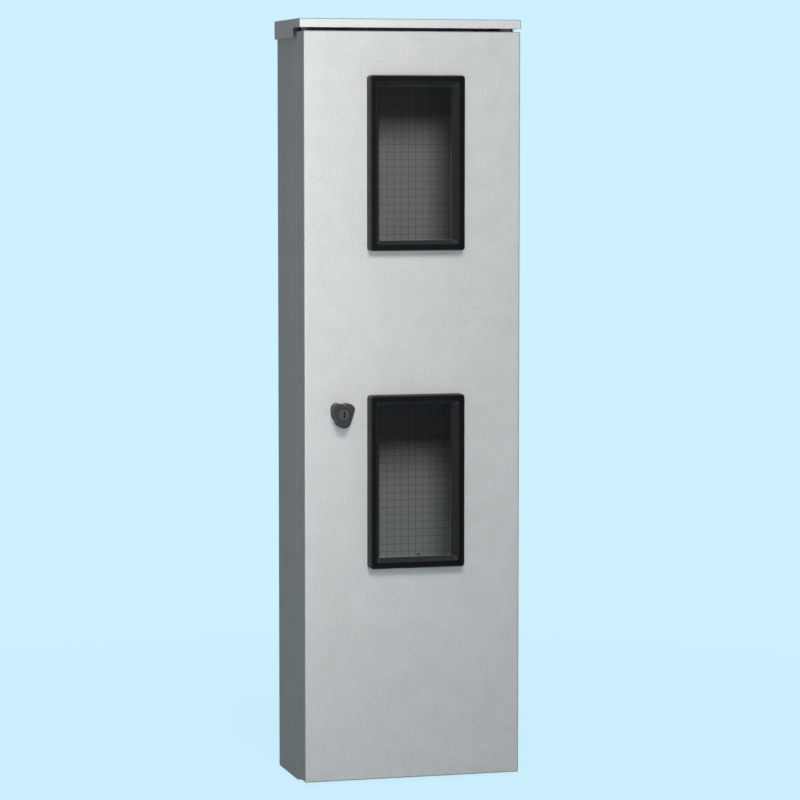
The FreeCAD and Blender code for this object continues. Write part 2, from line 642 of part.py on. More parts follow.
def make_hinge(centre_z):
    """Cabinet leaf, door leaf and pin of one butt hinge."""
    half = HINGE_HEIGHT / 2
    third = HINGE_HEIGHT / 6
    outer = [(-half, -third - HINGE_KNUCKLE_GAP), (third + HINGE_KNUCKLE_GAP, half)]
    cabinet_leaf = make_hinge_leaf(centre_z, 1, outer, HINGE_PIN_RADIUS + RUNNING_FIT)
    door_leaf = make_hinge_leaf(centre_z, -1, [(-third, third)], HINGE_PIN_RADIUS + HINGE_FIT)
    pin = round_z(HINGE_X, HINGE_Y, HINGE_PIN_RADIUS, centre_z - half, centre_z + half)
    head = round_z(HINGE_X, HINGE_Y, HINGE_PIN_HEAD_RADIUS, centre_z + half, centre_z + half + HINGE_PIN_HEAD)
    return cabinet_leaf, door_leaf, pin.fuse(head)


def inset_slab(centre_z, inset, radius, y0, y1):
    """Slab with the window frame's outline, drawn in by an inset."""
    return rounded_slab(WINDOW_X, centre_z, FRAME_WIDTH - 2 * inset, FRAME_HEIGHT - 2 * inset, radius, y0, y1)


def clamp_screw_places(centre_z):
    """The six clamp screws of one window, as (x, z)."""
    half = FRAME_WIDTH / 2 - CLAMP_SCREW_INSET
    return [(WINDOW_X + side * half, centre_z + row * CLAMP_SCREW_PITCH)
            for side in (-1, 1) for row in (-1, 0, 1)]


def make_door_panel():
    """Door: one folded tray with two window cut-outs and the knob's hole."""
    door = tray((-HALF_WIDTH, FRONT_Y, DOOR_BOTTOM_Z), (HALF_WIDTH, DOOR_REAR_Y, DOOR_TOP_Z),
                {(1, "high")}, SHEET, BEND_RADIUS)
    y0 = FRONT_Y - CUT_MARGIN
    y1 = DOOR_INSIDE_Y + CUT_MARGIN
    cuts = [inset_slab(z, FRAME_SEAT - CUT_OUT_GAP, GLASS_CORNER_RADIUS, y0, y1)
            for z in (UPPER_WINDOW_Z, LOWER_WINDOW_Z)]
    cuts.append(round_y(KNOB_X, KNOB_Z, ROSE_NECK_RADIUS + HOLE_CLEARANCE, y0, y1))
    return door.cut(cuts)


def make_door_seal():
    """Foam seal in the door, with its two rear edges rounded, against the rim."""
    rear = RIM_FRONT_Y - SEAL_GAP
    half_x = RIM_X - SHEET / 2
    low_z = RIM_BOTTOM_Z + SHEET / 2
    high_z = RIM_TOP_Z - SHEET / 2
    centre_z = (low_z + high_z) / 2
    width = 2 * half_x
    height = high_z - low_z
    grow = SEAL_WIDTH
    outer = rounded_slab(0, centre_z, width + grow, height + grow, SEAL_CORNER_RADIUS + grow,
                         DOOR_INSIDE_Y, rear)
    inner = rounded_slab(0, centre_z, width - grow, height - grow, SEAL_CORNER_RADIUS,
                         DOOR_INSIDE_Y - CUT_MARGIN, rear + CUT_MARGIN)
    return round_edges(outer.cut(inner), SEAL_ROUNDING, lambda c: abs(c.y - rear) < TOLERANCE)


def make_window_frame(centre_z):
    """Moulded frame: flat band, bevel down to the glass, and a spigot through the door."""
    front = FRONT_Y - FRAME_PROUD
    lip_front = front + GLASS_RECESS
    lip_rear = lip_front + GLASS_LIP
    opening = FRAME_BAND + FRAME_BEVEL
    pocket = opening - GLASS_LIP_COVER
    body = inset_slab(centre_z, 0, FRAME_CORNER_RADIUS, front, FRONT_Y)
    body = round_edges(body, FRAME_EDGE_ROUNDING, lambda c: abs(c.y - front) < TOLERANCE)
    spigot = inset_slab(centre_z, FRAME_SEAT, GLASS_CORNER_RADIUS, FRONT_Y, DOOR_INSIDE_Y)
    mouth = rounded_wire(WINDOW_X, centre_z, FRAME_WIDTH - 2 * FRAME_BAND, FRAME_HEIGHT - 2 * FRAME_BAND,
                         FRAME_CORNER_RADIUS, front)
    throat = rounded_wire(WINDOW_X, centre_z, FRAME_WIDTH - 2 * opening, FRAME_HEIGHT - 2 * opening,
                          GLASS_CORNER_RADIUS, lip_front)
    bevel = Part.makeLoft([mouth, throat], True, True)
    through = inset_slab(centre_z, opening, GLASS_CORNER_RADIUS, lip_front, lip_rear)
    glass_pocket = inset_slab(centre_z, pocket, GLASS_CORNER_RADIUS, lip_rear, DOOR_INSIDE_Y + CUT_MARGIN)
    screw_end = clamp_rear_y() - CLAMP_SCREW_LENGTH - MOVING_GAP
    holes = [round_y(x, z, CLAMP_SCREW_RADIUS + SCREW_FIT, screw_end, DOOR_INSIDE_Y + CUT_MARGIN)
             for x, z in clamp_screw_places(centre_z)]
    return body.fuse(spigot).cut([bevel, through, glass_pocket] + holes)


def glass_front_y():
    """Front face of the glass, against the frame's lip."""
    return FRONT_Y - FRAME_PROUD + GLASS_RECESS + GLASS_LIP


def clamp_rear_y():
    """Rear face of the clamp frame, under the screw heads."""
    return DOOR_INSIDE_Y + CLAMP_THICKNESS


def make_window_glass(centre_z):
    """Window pane behind the frame's lip."""
    inset = FRAME_BAND + FRAME_BEVEL - GLASS_LIP_COVER + GLASS_EDGE_GAP
    front = glass_front_y()
    return inset_slab(centre_z, inset, GLASS_CORNER_RADIUS, front, front + GLASS_THICKNESS)


def make_glass_seal(centre_z):
    """Rubber strip pressed between the pane and the clamp frame."""
    outer_inset = FRAME_BAND + FRAME_BEVEL - GLASS_LIP_COVER + MOVING_GAP
    inner_inset = outer_inset + GLASS_SEAL_WIDTH
    y0 = glass_front_y() + GLASS_THICKNESS
    outer = inset_slab(centre_z, outer_inset, GLASS_CORNER_RADIUS, y0, DOOR_INSIDE_Y)
    inner = inset_slab(centre_z, inner_inset, GLASS_CORNER_RADIUS, y0 - CUT_MARGIN,
                       DOOR_INSIDE_Y + CUT_MARGIN)
    return outer.cut(inner)


def make_clamp_frame(centre_z):
    """Steel frame inside the door that holds the moulded frame and the pane."""
    inner_inset = FRAME_BAND + FRAME_BEVEL
    outer = inset_slab(centre_z, CLAMP_INSET, FRAME_CORNER_RADIUS, DOOR_INSIDE_Y, clamp_rear_y())
    inner = inset_slab(centre_z, inner_inset, GLASS_CORNER_RADIUS, DOOR_INSIDE_Y - CUT_MARGIN,
                       clamp_rear_y() + CUT_MARGIN)
    holes = [round_y(x, z, CLAMP_SCREW_RADIUS + SCREW_FIT, DOOR_INSIDE_Y - CUT_MARGIN,
                     clamp_rear_y() + CUT_MARGIN) for x, z in clamp_screw_places(centre_z)]
    return outer.cut([inner] + holes)


def make_clamp_screws(centre_z):
    """Screws that go forwards through the clamp frame into the moulded frame."""
    seat = clamp_rear_y()
    screws = []
    for x, z in clamp_screw_places(centre_z):
        head = round_y(x, z, CLAMP_SCREW_HEAD_RADIUS, seat, seat + CLAMP_SCREW_HEAD)
        head = bevel_edges(head, CLAMP_SCREW_HEAD / 2, seat + CLAMP_SCREW_HEAD)
        screws.append(head.fuse(round_y(x, z, CLAMP_SCREW_RADIUS, seat - CLAMP_SCREW_LENGTH, seat)))
    return screws


def knob_wire(y):
    """Outline of the knob: two lobes on top with a hollow between, and straight sides to a round foot."""
    lobe = Vector(KNOB_X + KNOB_LOBE_OFFSET, y, KNOB_Z + KNOB_LOBE_RISE)
    foot = Vector(KNOB_X, y, KNOB_Z - KNOB_FOOT_DROP)
    reach = KNOB_LOBE_RADIUS + KNOB_NOTCH_RADIUS
    hollow = Vector(KNOB_X, y, lobe.z + math.sqrt(reach ** 2 - KNOB_LOBE_OFFSET ** 2))
    inward = (hollow - lobe).normalize()
    up = (lobe - foot).normalize()
    lean = (KNOB_FOOT_RADIUS - KNOB_LOBE_RADIUS) / lobe.distanceToPoint(foot)
    outward = up * lean + Vector(up.z, 0, -up.x) * math.sqrt(1 - lean ** 2)
    right = {
        "notch_end": lobe + inward * KNOB_LOBE_RADIUS,
        "crown": lobe + (inward + outward).normalize() * KNOB_LOBE_RADIUS,
        "side_top": lobe + outward * KNOB_LOBE_RADIUS,
        "side_foot": foot + outward * KNOB_FOOT_RADIUS,
    }
    left = {name: Vector(2 * KNOB_X - point.x, y, point.z) for name, point in right.items()}
    edges = [
        Part.Arc(left["notch_end"], hollow - Vector(0, 0, KNOB_NOTCH_RADIUS), right["notch_end"]).toShape(),
        Part.Arc(right["notch_end"], right["crown"], right["side_top"]).toShape(),
        Part.makeLine(right["side_top"], right["side_foot"]),
        Part.Arc(right["side_foot"], foot - Vector(0, 0, KNOB_FOOT_RADIUS), left["side_foot"]).toShape(),
        Part.makeLine(left["side_foot"], left["side_top"]),
        Part.Arc(left["side_top"], left["crown"], left["notch_end"]).toShape(),
    ]
    return Part.Wire(edges)


def make_knob():
    """Lobed knob with a bevelled pocket for the lock plug and a socket for the spindle."""
    body = Part.Face(knob_wire(KNOB_REAR_Y)).extrude(Vector(0, -KNOB_HEIGHT, 0))
    body = round_edges(body, KNOB_EDGE_ROUNDING, lambda c: abs(c.y - KNOB_FRONT_Y) < TOLERANCE)
    bore = PLUG_RADIUS + RUNNING_FIT
    pocket = round_y(KNOB_X, KNOB_Z, bore, KNOB_FRONT_Y - CUT_MARGIN, KNOB_FRONT_Y + PLUG_DEPTH)
    mouth = Part.makeCone(bore + PLUG_MOUTH_BEVEL + CUT_MARGIN, bore, PLUG_MOUTH_BEVEL + CUT_MARGIN,
                          Vector(KNOB_X, KNOB_FRONT_Y - CUT_MARGIN, KNOB_Z), Vector(0, 1, 0))
    socket = round_y(KNOB_X, KNOB_Z, SPINDLE_RADIUS + SCREW_FIT, KNOB_REAR_Y - KNOB_SOCKET_DEPTH,
                     KNOB_REAR_Y + CUT_MARGIN)
    return body.cut([pocket, mouth, socket])


def make_lock_plug():
    """Lock plug with its keyway, set back in the knob."""
    front = KNOB_FRONT_Y + PLUG_RECESS
    plug = round_y(KNOB_X, KNOB_Z, PLUG_RADIUS, front, KNOB_FRONT_Y + PLUG_DEPTH - MOVING_GAP)
    plug = bevel_edges(plug, PLUG_BEVEL, front)
    half = KEYWAY_LENGTH / 2
    keyway = block(KNOB_X - KEYWAY_WIDTH / 2, KNOB_X + KEYWAY_WIDTH / 2, front - CUT_MARGIN,
                   front + KEYWAY_DEPTH, KNOB_Z - half, KNOB_Z + half)
    return plug.cut(keyway)


def make_rose():
    """Rose on the door's face, with the neck that the spindle turns in."""
    flange = round_y(KNOB_X, KNOB_Z, ROSE_RADIUS, ROSE_FRONT_Y, ROSE_REAR_Y)
    flange = bevel_edges(flange, ROSE_THICKNESS / 3, ROSE_FRONT_Y)
    neck = round_y(KNOB_X, KNOB_Z, ROSE_NECK_RADIUS, ROSE_REAR_Y, ROSE_REAR_Y + ROSE_NECK_LENGTH)
    bore = round_y(KNOB_X, KNOB_Z, SPINDLE_RADIUS + RUNNING_FIT, ROSE_FRONT_Y - CUT_MARGIN,
                   ROSE_REAR_Y + ROSE_NECK_LENGTH + CUT_MARGIN)
    return flange.fuse(neck).cut(bore)


def make_rose_washer():
    """Rubber washer under the rose."""
    disc = round_y(KNOB_X, KNOB_Z, ROSE_RADIUS, ROSE_REAR_Y, FRONT_Y)
    return disc.cut(round_y(KNOB_X, KNOB_Z, ROSE_NECK_RADIUS + SCREW_FIT, ROSE_REAR_Y - CUT_MARGIN,
                            FRONT_Y + CUT_MARGIN))


def make_rose_locknut():
    """Thin nut that holds the rose from inside the door."""
    nut = hexagon_y(KNOB_X, KNOB_Z, LOCKNUT_ACROSS, DOOR_INSIDE_Y, DOOR_INSIDE_Y + LOCKNUT_THICKNESS)
    return nut.cut(round_y(KNOB_X, KNOB_Z, ROSE_NECK_RADIUS + SCREW_FIT, DOOR_INSIDE_Y - CUT_MARGIN,
                           DOOR_INSIDE_Y + LOCKNUT_THICKNESS + CUT_MARGIN))


def make_spindle():
    """Spindle: round in the rose, square in the cam, with a threaded end."""
    front = KNOB_REAR_Y - KNOB_SOCKET_DEPTH
    half = SPINDLE_SQUARE / 2
    shaft = round_y(KNOB_X, KNOB_Z, SPINDLE_RADIUS, front, CAM_FRONT_Y)
    square = block(KNOB_X - half, KNOB_X + half, CAM_FRONT_Y, CAM_REAR_Y, KNOB_Z - half, KNOB_Z + half)
    end = round_y(KNOB_X, KNOB_Z, STUD_END_RADIUS, CAM_REAR_Y, CAM_REAR_Y + STUD_END_LENGTH)
    return shaft.fuse([square, end])


def make_latch_cam():
    """Latch cam, hanging down when the door is free and to the left when it is held."""
    half = CAM_WIDTH / 2
    hub = round_y(KNOB_X, KNOB_Z, CAM_HUB_RADIUS, CAM_FRONT_Y, CAM_REAR_Y)
    end_z = KNOB_Z - CAM_REACH + half
    arm = block(KNOB_X - half, KNOB_X + half, CAM_FRONT_Y, CAM_REAR_Y, end_z, KNOB_Z)
    end = round_y(KNOB_X, end_z, half, CAM_FRONT_Y, CAM_REAR_Y)
    side = SPINDLE_SQUARE / 2 + SCREW_FIT
    hole = block(KNOB_X - side, KNOB_X + side, CAM_FRONT_Y - CUT_MARGIN, CAM_REAR_Y + CUT_MARGIN,
                 KNOB_Z - side, KNOB_Z + side)
    return hub.fuse([arm, end]).cut(hole).removeSplitter()


def make_cam_washer():
    """Washer behind the cam."""
    disc = round_y(KNOB_X, KNOB_Z, CAM_WASHER_RADIUS, CAM_REAR_Y, CAM_WASHER_REAR_Y)
    return disc.cut(round_y(KNOB_X, KNOB_Z, STUD_END_RADIUS + SCREW_FIT, CAM_REAR_Y - CUT_MARGIN,
                            CAM_WASHER_REAR_Y + CUT_MARGIN))


def make_cam_nut():
    """Nut that holds the cam on its spindle."""
    rear = CAM_WASHER_REAR_Y + CAM_NUT_THICKNESS
    nut = hexagon_y(KNOB_X, KNOB_Z, CAM_NUT_ACROSS, CAM_WASHER_REAR_Y, rear)
    return nut.cut(round_y(KNOB_X, KNOB_Z, STUD_END_RADIUS + SCREW_FIT, CAM_WASHER_REAR_Y - CUT_MARGIN,
                           rear + CUT_MARGIN))


def make_cabinet_parts():
    """Everything that stays on the wall."""
    board_places = board_hole_places(UPPER_WINDOW_Z) + board_hole_places(LOWER_WINDOW_Z)
    parts = {
        "back_and_sides": make_back_and_sides(),
        "top_plate": make_top_plate(),
        "bottom_plate": make_bottom_plate(),
        "roof_cap": make_roof_cap(),
        "upper_meter_board": make_meter_board(UPPER_WINDOW_Z),
        "lower_meter_board": make_meter_board(LOWER_WINDOW_Z),
        "board_studs": Part.makeCompound([make_board_stud(x, z) for x, z in board_places]),
        "board_nuts": Part.makeCompound([make_board_nut(x, z) for x, z in board_places]),
        "breaker_rail": make_breaker_rail(),
        "rail_screws": Part.makeCompound(make_rail_screws()),
        "earth_bar": make_earth_bar(),
        "earth_bar_posts": Part.makeCompound(make_earth_posts()),
        "earth_bar_screws": Part.makeCompound(make_earth_screws()),
        "latch_keeper": make_latch_keeper(),
    }
    for side, x in bracket_places().items():
        parts["rail_bracket_" + side] = make_rail_bracket(x)
    for side, x in grommet_places().items():
        parts["cable_grommet_" + side] = make_grommet(x)
    return parts


def make_hinge_parts():
    """Hinges, numbered from the top."""
    parts = {}
    for number, z in enumerate(hinge_places(), 1):
        cabinet_leaf, door_leaf, pin = make_hinge(z)
        parts["hinge_%d_cabinet_leaf" % number] = cabinet_leaf
        parts["hinge_%d_door_leaf" % number] = door_leaf
        parts["hinge_%d_pin" % number] = pin
    return parts


def make_door_parts():
    """The door and what is fixed to it."""
    parts = {
        "door_panel": make_door_panel(),
        "door_seal": make_door_seal(),
        "knob_rose": make_rose(),
        "rose_washer": make_rose_washer(),
        "rose_locknut": make_rose_locknut(),
    }
    for name, z in (("upper", UPPER_WINDOW_Z), ("lower", LOWER_WINDOW_Z)):
        parts[name + "_window_frame"] = make_window_frame(z)
        parts[name + "_window_glass"] = make_window_glass(z)
        parts[name + "_glass_seal"] = make_glass_seal(z)
        parts[name + "_clamp_frame"] = make_clamp_frame(z)
        parts[name + "_clamp_screws"] = Part.makeCompound(make_clamp_screws(z))
    return parts


def make_latch_parts():
    """What turns with the knob, and the lock plug in it."""
    return {
        "lobed_knob": make_knob(),
        "knob_spindle": make_spindle(),
        "latch_cam": make_latch_cam(),
        "cam_washer": make_cam_washer(),
        "cam_nut": make_cam_nut(),
        "lock_plug": make_lock_plug(),
    }


def main():
    os.makedirs("parts", exist_ok=True)
    for group in (make_cabinet_parts(), make_hinge_parts(), make_door_parts(), make_latch_parts()):
        for name, shape in group.items():
            shape.exportStep("parts/%s.step" % name)


main()
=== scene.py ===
import math

import bpy
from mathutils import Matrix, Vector


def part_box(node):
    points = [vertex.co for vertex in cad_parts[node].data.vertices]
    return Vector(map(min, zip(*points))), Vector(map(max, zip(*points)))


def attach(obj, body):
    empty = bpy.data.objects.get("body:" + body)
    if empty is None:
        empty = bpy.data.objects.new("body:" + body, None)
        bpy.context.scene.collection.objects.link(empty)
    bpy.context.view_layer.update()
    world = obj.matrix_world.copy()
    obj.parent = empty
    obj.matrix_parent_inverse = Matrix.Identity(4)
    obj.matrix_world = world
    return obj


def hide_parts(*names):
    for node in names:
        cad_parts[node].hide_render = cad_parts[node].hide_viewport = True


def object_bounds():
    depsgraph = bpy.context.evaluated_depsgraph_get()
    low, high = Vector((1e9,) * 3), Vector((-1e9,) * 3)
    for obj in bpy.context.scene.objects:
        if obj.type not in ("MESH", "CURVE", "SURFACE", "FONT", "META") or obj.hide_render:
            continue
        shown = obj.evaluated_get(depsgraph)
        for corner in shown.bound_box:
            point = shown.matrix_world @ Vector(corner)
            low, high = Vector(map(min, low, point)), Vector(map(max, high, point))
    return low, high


bl_info = {
    "name": "Meter Box Looks",
    "version": (1, 0, 0),
    "blender": (4, 5, 0),
    "location": "3D View > Sidebar > Meter Box",
    "description": "Finishes, window wires, screws, rivets and studio for a wall-mounted electric meter box",
    "category": "Object",
}

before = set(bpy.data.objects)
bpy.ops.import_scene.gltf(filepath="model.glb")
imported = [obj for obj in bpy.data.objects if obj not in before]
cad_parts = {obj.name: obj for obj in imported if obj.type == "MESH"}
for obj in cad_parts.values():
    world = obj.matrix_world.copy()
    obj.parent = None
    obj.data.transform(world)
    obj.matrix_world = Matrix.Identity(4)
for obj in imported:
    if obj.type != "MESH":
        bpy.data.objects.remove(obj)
cad_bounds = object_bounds()


# Settings

class MeterBoxFinish(bpy.types.PropertyGroup):
    """Colours and finishes of the box's surfaces."""

    door_colour: bpy.props.FloatVectorProperty(
        name="Door", description="Sheet of the door", subtype="COLOR",
        default=(0.6, 0.6, 0.595), min=0, max=1)
    case_colour: bpy.props.FloatVectorProperty(
        name="Case", description="Sheet of the case", subtype="COLOR", default=(0.6, 0.6, 0.6), min=0, max=1)
    # Painted light: the roof cap is the case's sheet made lighter, so that its front reads brighter.
    cap_painted_light_colour: bpy.props.FloatVectorProperty(
        name="Roof cap", description="Sheet of the roof cap", subtype="COLOR",
        default=(0.732, 0.732, 0.732), min=0, max=1)
    board_colour: bpy.props.FloatVectorProperty(
        name="Meter boards", description="Paint of the meter boards", subtype="COLOR",
        default=(0.33, 0.327, 0.322), min=0, max=1)
    moulding_colour: bpy.props.FloatVectorProperty(
        name="Window frames", description="Black moulding of the window frames", subtype="COLOR",
        default=(0.005, 0.005, 0.0052), min=0, max=1)
    knob_colour: bpy.props.FloatVectorProperty(
        name="Knob", description="Dark moulding of the knob", subtype="COLOR",
        default=(0.06, 0.06, 0.06), min=0, max=1)
    # Painted shade: the rose is the knob's moulding made five times darker.
    rose_shaded_colour: bpy.props.FloatVectorProperty(
        name="Rose", description="Darker moulding of the knob's rose", subtype="COLOR",
        default=(0.012, 0.012, 0.012), min=0, max=1)
    lock_colour: bpy.props.FloatVectorProperty(
        name="Lock plug", description="Dark plate of the lock plug", subtype="COLOR",
        default=(0.07, 0.07, 0.072), min=0, max=1)
    rubber_colour: bpy.props.FloatVectorProperty(
        name="Rubber", description="Seals and cable grommets", subtype="COLOR",
        default=(0.02, 0.02, 0.021), min=0, max=1)
    zinc_colour: bpy.props.FloatVectorProperty(
        name="Zinc plate", description="Plated rail, brackets, studs, cam and screws", subtype="COLOR",
        default=(0.62, 0.63, 0.65), min=0, max=1)
    brass_colour: bpy.props.FloatVectorProperty(
        name="Brass", description="Earth bar and its screws", subtype="COLOR", default=(0.78, 0.56, 0.24),
        min=0, max=1)
    hinge_colour: bpy.props.FloatVectorProperty(
        name="Hinges", description="Satin steel of the hinges and their rivets", subtype="COLOR",
        default=(0.52, 0.52, 0.53), min=0, max=1)
    sheet_roughness: bpy.props.FloatProperty(
        name="Sheet roughness", description="Roughness of the matt stainless sheet", subtype="FACTOR",
        default=0.5, min=0, max=1)
    sheet_metallic: bpy.props.FloatProperty(
        name="Sheet metallic", description="Metallic share of the matt stainless sheet", subtype="FACTOR",
        default=0.4, min=0, max=1)
    streak_amount: bpy.props.FloatProperty(
        name="Streaks", description="Strength of the sheet's upright grinding lines", subtype="FACTOR",
        default=0.05, min=0, max=1)
    blotch_amount: bpy.props.FloatProperty(
        name="Blotches", description="Strength of the sheet's cloudy tone", subtype="FACTOR",
        default=0.15, min=0, max=1)


class MeterBoxWires(bpy.types.PropertyGroup):
    """Wire mesh inside the window panes."""

    pitch: bpy.props.FloatProperty(
        name="Pitch", description="Distance between two wires", default=0.0097, min=0.004, max=0.03,
        unit="LENGTH", precision=4)
    diameter: bpy.props.FloatProperty(
        name="Diameter", description="Diameter of a wire", default=0.00035, min=0.0002, max=0.001,
        unit="LENGTH", precision=4)
    edge_gap: bpy.props.FloatProperty(
        name="Edge gap", description="Where the wires stop short of the pane's edge", default=0.001, min=0,
        max=0.01, unit="LENGTH", precision=4)
    colour: bpy.props.FloatVectorProperty(
        name="Wires", description="Dull dark steel of the wires", subtype="COLOR",
        default=(0.045, 0.045, 0.045), min=0, max=1)


class MeterBoxStage(bpy.types.PropertyGroup):
    """Camera, lamps and background."""

    background: bpy.props.FloatVectorProperty(
        name="Background", description="Pale colour of the floor and the surroundings", subtype="COLOR",
        default=(0.61, 0.88, 1.0), min=0, max=1)
    ambient: bpy.props.FloatProperty(
        name="Ambient", description="Strength of the even light from all round", subtype="FACTOR",
        default=0.12, min=0, max=2)
    front_tone: bpy.props.FloatProperty(
        name="Front tone", description="Tone that reflections see in front of the box", subtype="FACTOR",
        default=0.05, min=0, max=1)
    rear_tone: bpy.props.FloatProperty(
        name="Rear tone", description="Tone that reflections see behind and above the box", subtype="FACTOR",
        default=0.2, min=0, max=1)
    key_power: bpy.props.FloatProperty(
        name="Key lamp", description="Power of the large soft lamp in front", default=47.0, min=0,
        unit="POWER")
    sheen_power: bpy.props.FloatProperty(
        name="Sheen lamp", description="Power of the lamp that only reflections see", default=31.0, min=0,
        unit="POWER")
    fill_power: bpy.props.FloatProperty(
        name="Fill lamp", description="Power of the lamp on the left", default=3.0, min=0, unit="POWER")
    rear_power: bpy.props.FloatProperty(
        name="Rear lamp", description="Power of the lamp behind the box", default=16.0, min=0, unit="POWER")
    camera_azimuth: bpy.props.FloatProperty(
        name="Camera azimuth",
        description="Turn of the camera round the box, minus to the left of the front",
        default=math.radians(-15.19), unit="ROTATION")
    camera_pitch: bpy.props.FloatProperty(
        name="Camera pitch", description="Downward tilt of the camera", default=math.radians(4.65),
        unit="ROTATION")
    lens: bpy.props.FloatProperty(
        name="Lens", description="Focal length for a 36 mm wide sensor", default=148.5, min=10,
        unit="CAMERA")


# Modelling helpers

def deselect_all():
    """Leave edit mode and deselect everything."""
    if bpy.context.object and bpy.context.object.mode != "OBJECT":
        bpy.ops.object.mode_set(mode="OBJECT")
    bpy.ops.object.select_all(action="DESELECT")


def pick(*objects):
    """Select these objects only; the first is active."""
    deselect_all()
    for item in objects:
        item.select_set(True)
    bpy.context.view_layer.objects.active = objects[0]


def settle(item, name):
    """Name the object and put its place into its mesh."""
    pick(item)
    bpy.ops.object.transform_apply(location=True, rotation=True, scale=True)
    item.name = name
    item.data.name = name
    return item


def join(objects, name):
    """One object from several, at the origin."""
    pick(*objects)
    if len(objects) > 1:
        bpy.ops.object.join()
    return settle(bpy.context.object, name)


def apply_modifier(item, kind, **settings):
    """Add a modifier and apply it."""
    pick(item)
    made = item.modifiers.new(kind.title(), kind)
    for key, value in settings.items():
        setattr(made, key, value)
    bpy.ops.object.modifier_apply(modifier=made.name)


def copies(item, places):
    """Copies of a piece modelled at the origin, each with its own mesh, in place of it."""
    made = []
    for place in places:
        copy = item.copy()
        copy.data = item.data.copy()
        copy.location = place
        bpy.context.scene.collection.objects.link(copy)
        made.append(copy)
    bpy.data.objects.remove(item)
    return made


def select_faces(item, test):
    """Enter edit mode with only the faces selected whose normal passes the test."""
    bpy.ops.object.mode_set(mode="OBJECT")
    for face in item.data.polygons:
        face.select = test(face.normal)
    bpy.ops.object.mode_set(mode="EDIT")


def spots(node):
    """Middles of the solids that one CAD node holds, as (x, z)."""
    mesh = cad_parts[node].data
    parent = list(range(len(mesh.vertices)))
    near = {}
    for i, vertex in enumerate(mesh.vertices):
        near.setdefault(tuple(round(c, 5) for c in vertex.co), []).append(i)

    def root(i):
        while parent[i] != i:
            parent[i] = parent[parent[i]]
            i = parent[i]
        return i

    for same in near.values():
        for i in same[1:]:
            parent[root(i)] = root(same[0])
    for edge in mesh.edges:
        parent[root(edge.vertices[0])] = root(edge.vertices[1])
    groups = {}
    for i, vertex in enumerate(mesh.vertices):
        groups.setdefault(root(i), []).append(vertex.co)
    middles = []
    for points in groups.values():
        xs = [p.x for p in points]
        zs = [p.z for p in points]
        middles.append(((min(xs) + max(xs)) / 2, (min(zs) + max(zs)) / 2))
    return sorted(middles)


# Shader helpers

def add_node(tree, kind, inputs=None, **settings):
    """Node with its settings; an input takes a value or another node's output."""
    made = tree.nodes.new(kind)
    for key, value in settings.items():
        setattr(made, key, value)
    for key, value in (inputs or {}).items():
        if isinstance(value, bpy.types.NodeSocket):
            tree.links.new(value, made.inputs[key])
        else:
            made.inputs[key].default_value = value
    return made


def maths(tree, operation, first, second=0.0, clamp=False):
    """One arithmetic step."""
    made = add_node(tree, "ShaderNodeMath", {0: first, 1: second}, operation=operation, use_clamp=clamp)
    return made.outputs[0]


def product(tree, *factors, clamp=False):
    """Factors multiplied one after the other."""
    result = factors[0]
    for factor in factors[1:]:
        result = maths(tree, "MULTIPLY", result, factor, clamp=clamp)
    return result


def mix_colour(tree, factor, first, second):
    """Blend of two colours."""
    made = add_node(tree, "ShaderNodeMix", {0: factor, 6: first, 7: second}, data_type="RGBA")
    return made.outputs[2]


def new_group(name, inputs, outputs):
    """Empty shader group with plain number inputs and outputs."""
    tree = bpy.data.node_groups.new(name, "ShaderNodeTree")
    for label, default in inputs.items():
        socket = tree.interface.new_socket(label, in_out="INPUT", socket_type="NodeSocketFloat")
        socket.default_value = default
    for label in outputs:
        tree.interface.new_socket(label, in_out="OUTPUT", socket_type="NodeSocketFloat")
    return tree, tree.nodes.new("NodeGroupInput"), tree.nodes.new("NodeGroupOutput")


def object_coordinates(tree):
    """Place on the object, in metres."""
    return add_node(tree, "ShaderNodeTexCoord").outputs["Object"]


def axes(tree, vector):
    """The X, Y and Z of a vector."""
    return add_node(tree, "ShaderNodeSeparateXYZ", {0: vector}).outputs


def face_normal(tree):
    """The surface's normal."""
    return add_node(tree, "ShaderNodeNewGeometry").outputs["Normal"]


def noise(tree, vector, scale, detail=2.0, roughness=0.5):
    """Noise between 0 and 1."""
    return add_node(tree, "ShaderNodeTexNoise",
                    {"Vector": vector, "Scale": scale, "Detail": detail, "Roughness": roughness}).outputs[0]


def smooth_range(tree, value, given, wanted):
    """Value carried smoothly from one range to another."""
    made = add_node(tree, "ShaderNodeMapRange", {"Value": value, "From Min": given[0], "From Max": given[1],
                                                 "To Min": wanted[0], "To Max": wanted[1]},
                    interpolation_type="SMOOTHSTEP")
    return made.outputs[0]


# Shared effects

def sheet_grain_group():
    """Upright grinding lines, cloudy blotches and fine speckle of matt stainless sheet."""
    tree, given, result = new_group(
        "Sheet Grain", {"Streaks": 0.05, "Blotches": 0.05, "Speckle": 0.28}, ["Tone", "Height"])
    where = object_coordinates(tree)
    upright = (900.0, 900.0, 9.0)
    stretched = add_node(tree, "ShaderNodeMapping", {"Vector": where, "Scale": upright}).outputs[0]
    streak = maths(tree, "SUBTRACT", noise(tree, stretched, 1.0, 3.0, 0.6), 0.5)
    blotch = maths(tree, "SUBTRACT", noise(tree, where, 38.0, 3.0, 0.55), 0.5)
    speckle = maths(tree, "SUBTRACT", noise(tree, where, 280.0, 2.0, 0.6), 0.5)
    tone = maths(tree, "ADD", product(tree, streak, given.outputs["Streaks"]),
                 product(tree, blotch, given.outputs["Blotches"]))
    tone = maths(tree, "ADD", tone, product(tree, speckle, given.outputs["Speckle"]))
    tree.links.new(maths(tree, "ADD", tone, 0.5), result.inputs["Tone"])
    tree.links.new(maths(tree, "ADD", streak, product(tree, speckle, 0.5)), result.inputs["Height"])
    return tree


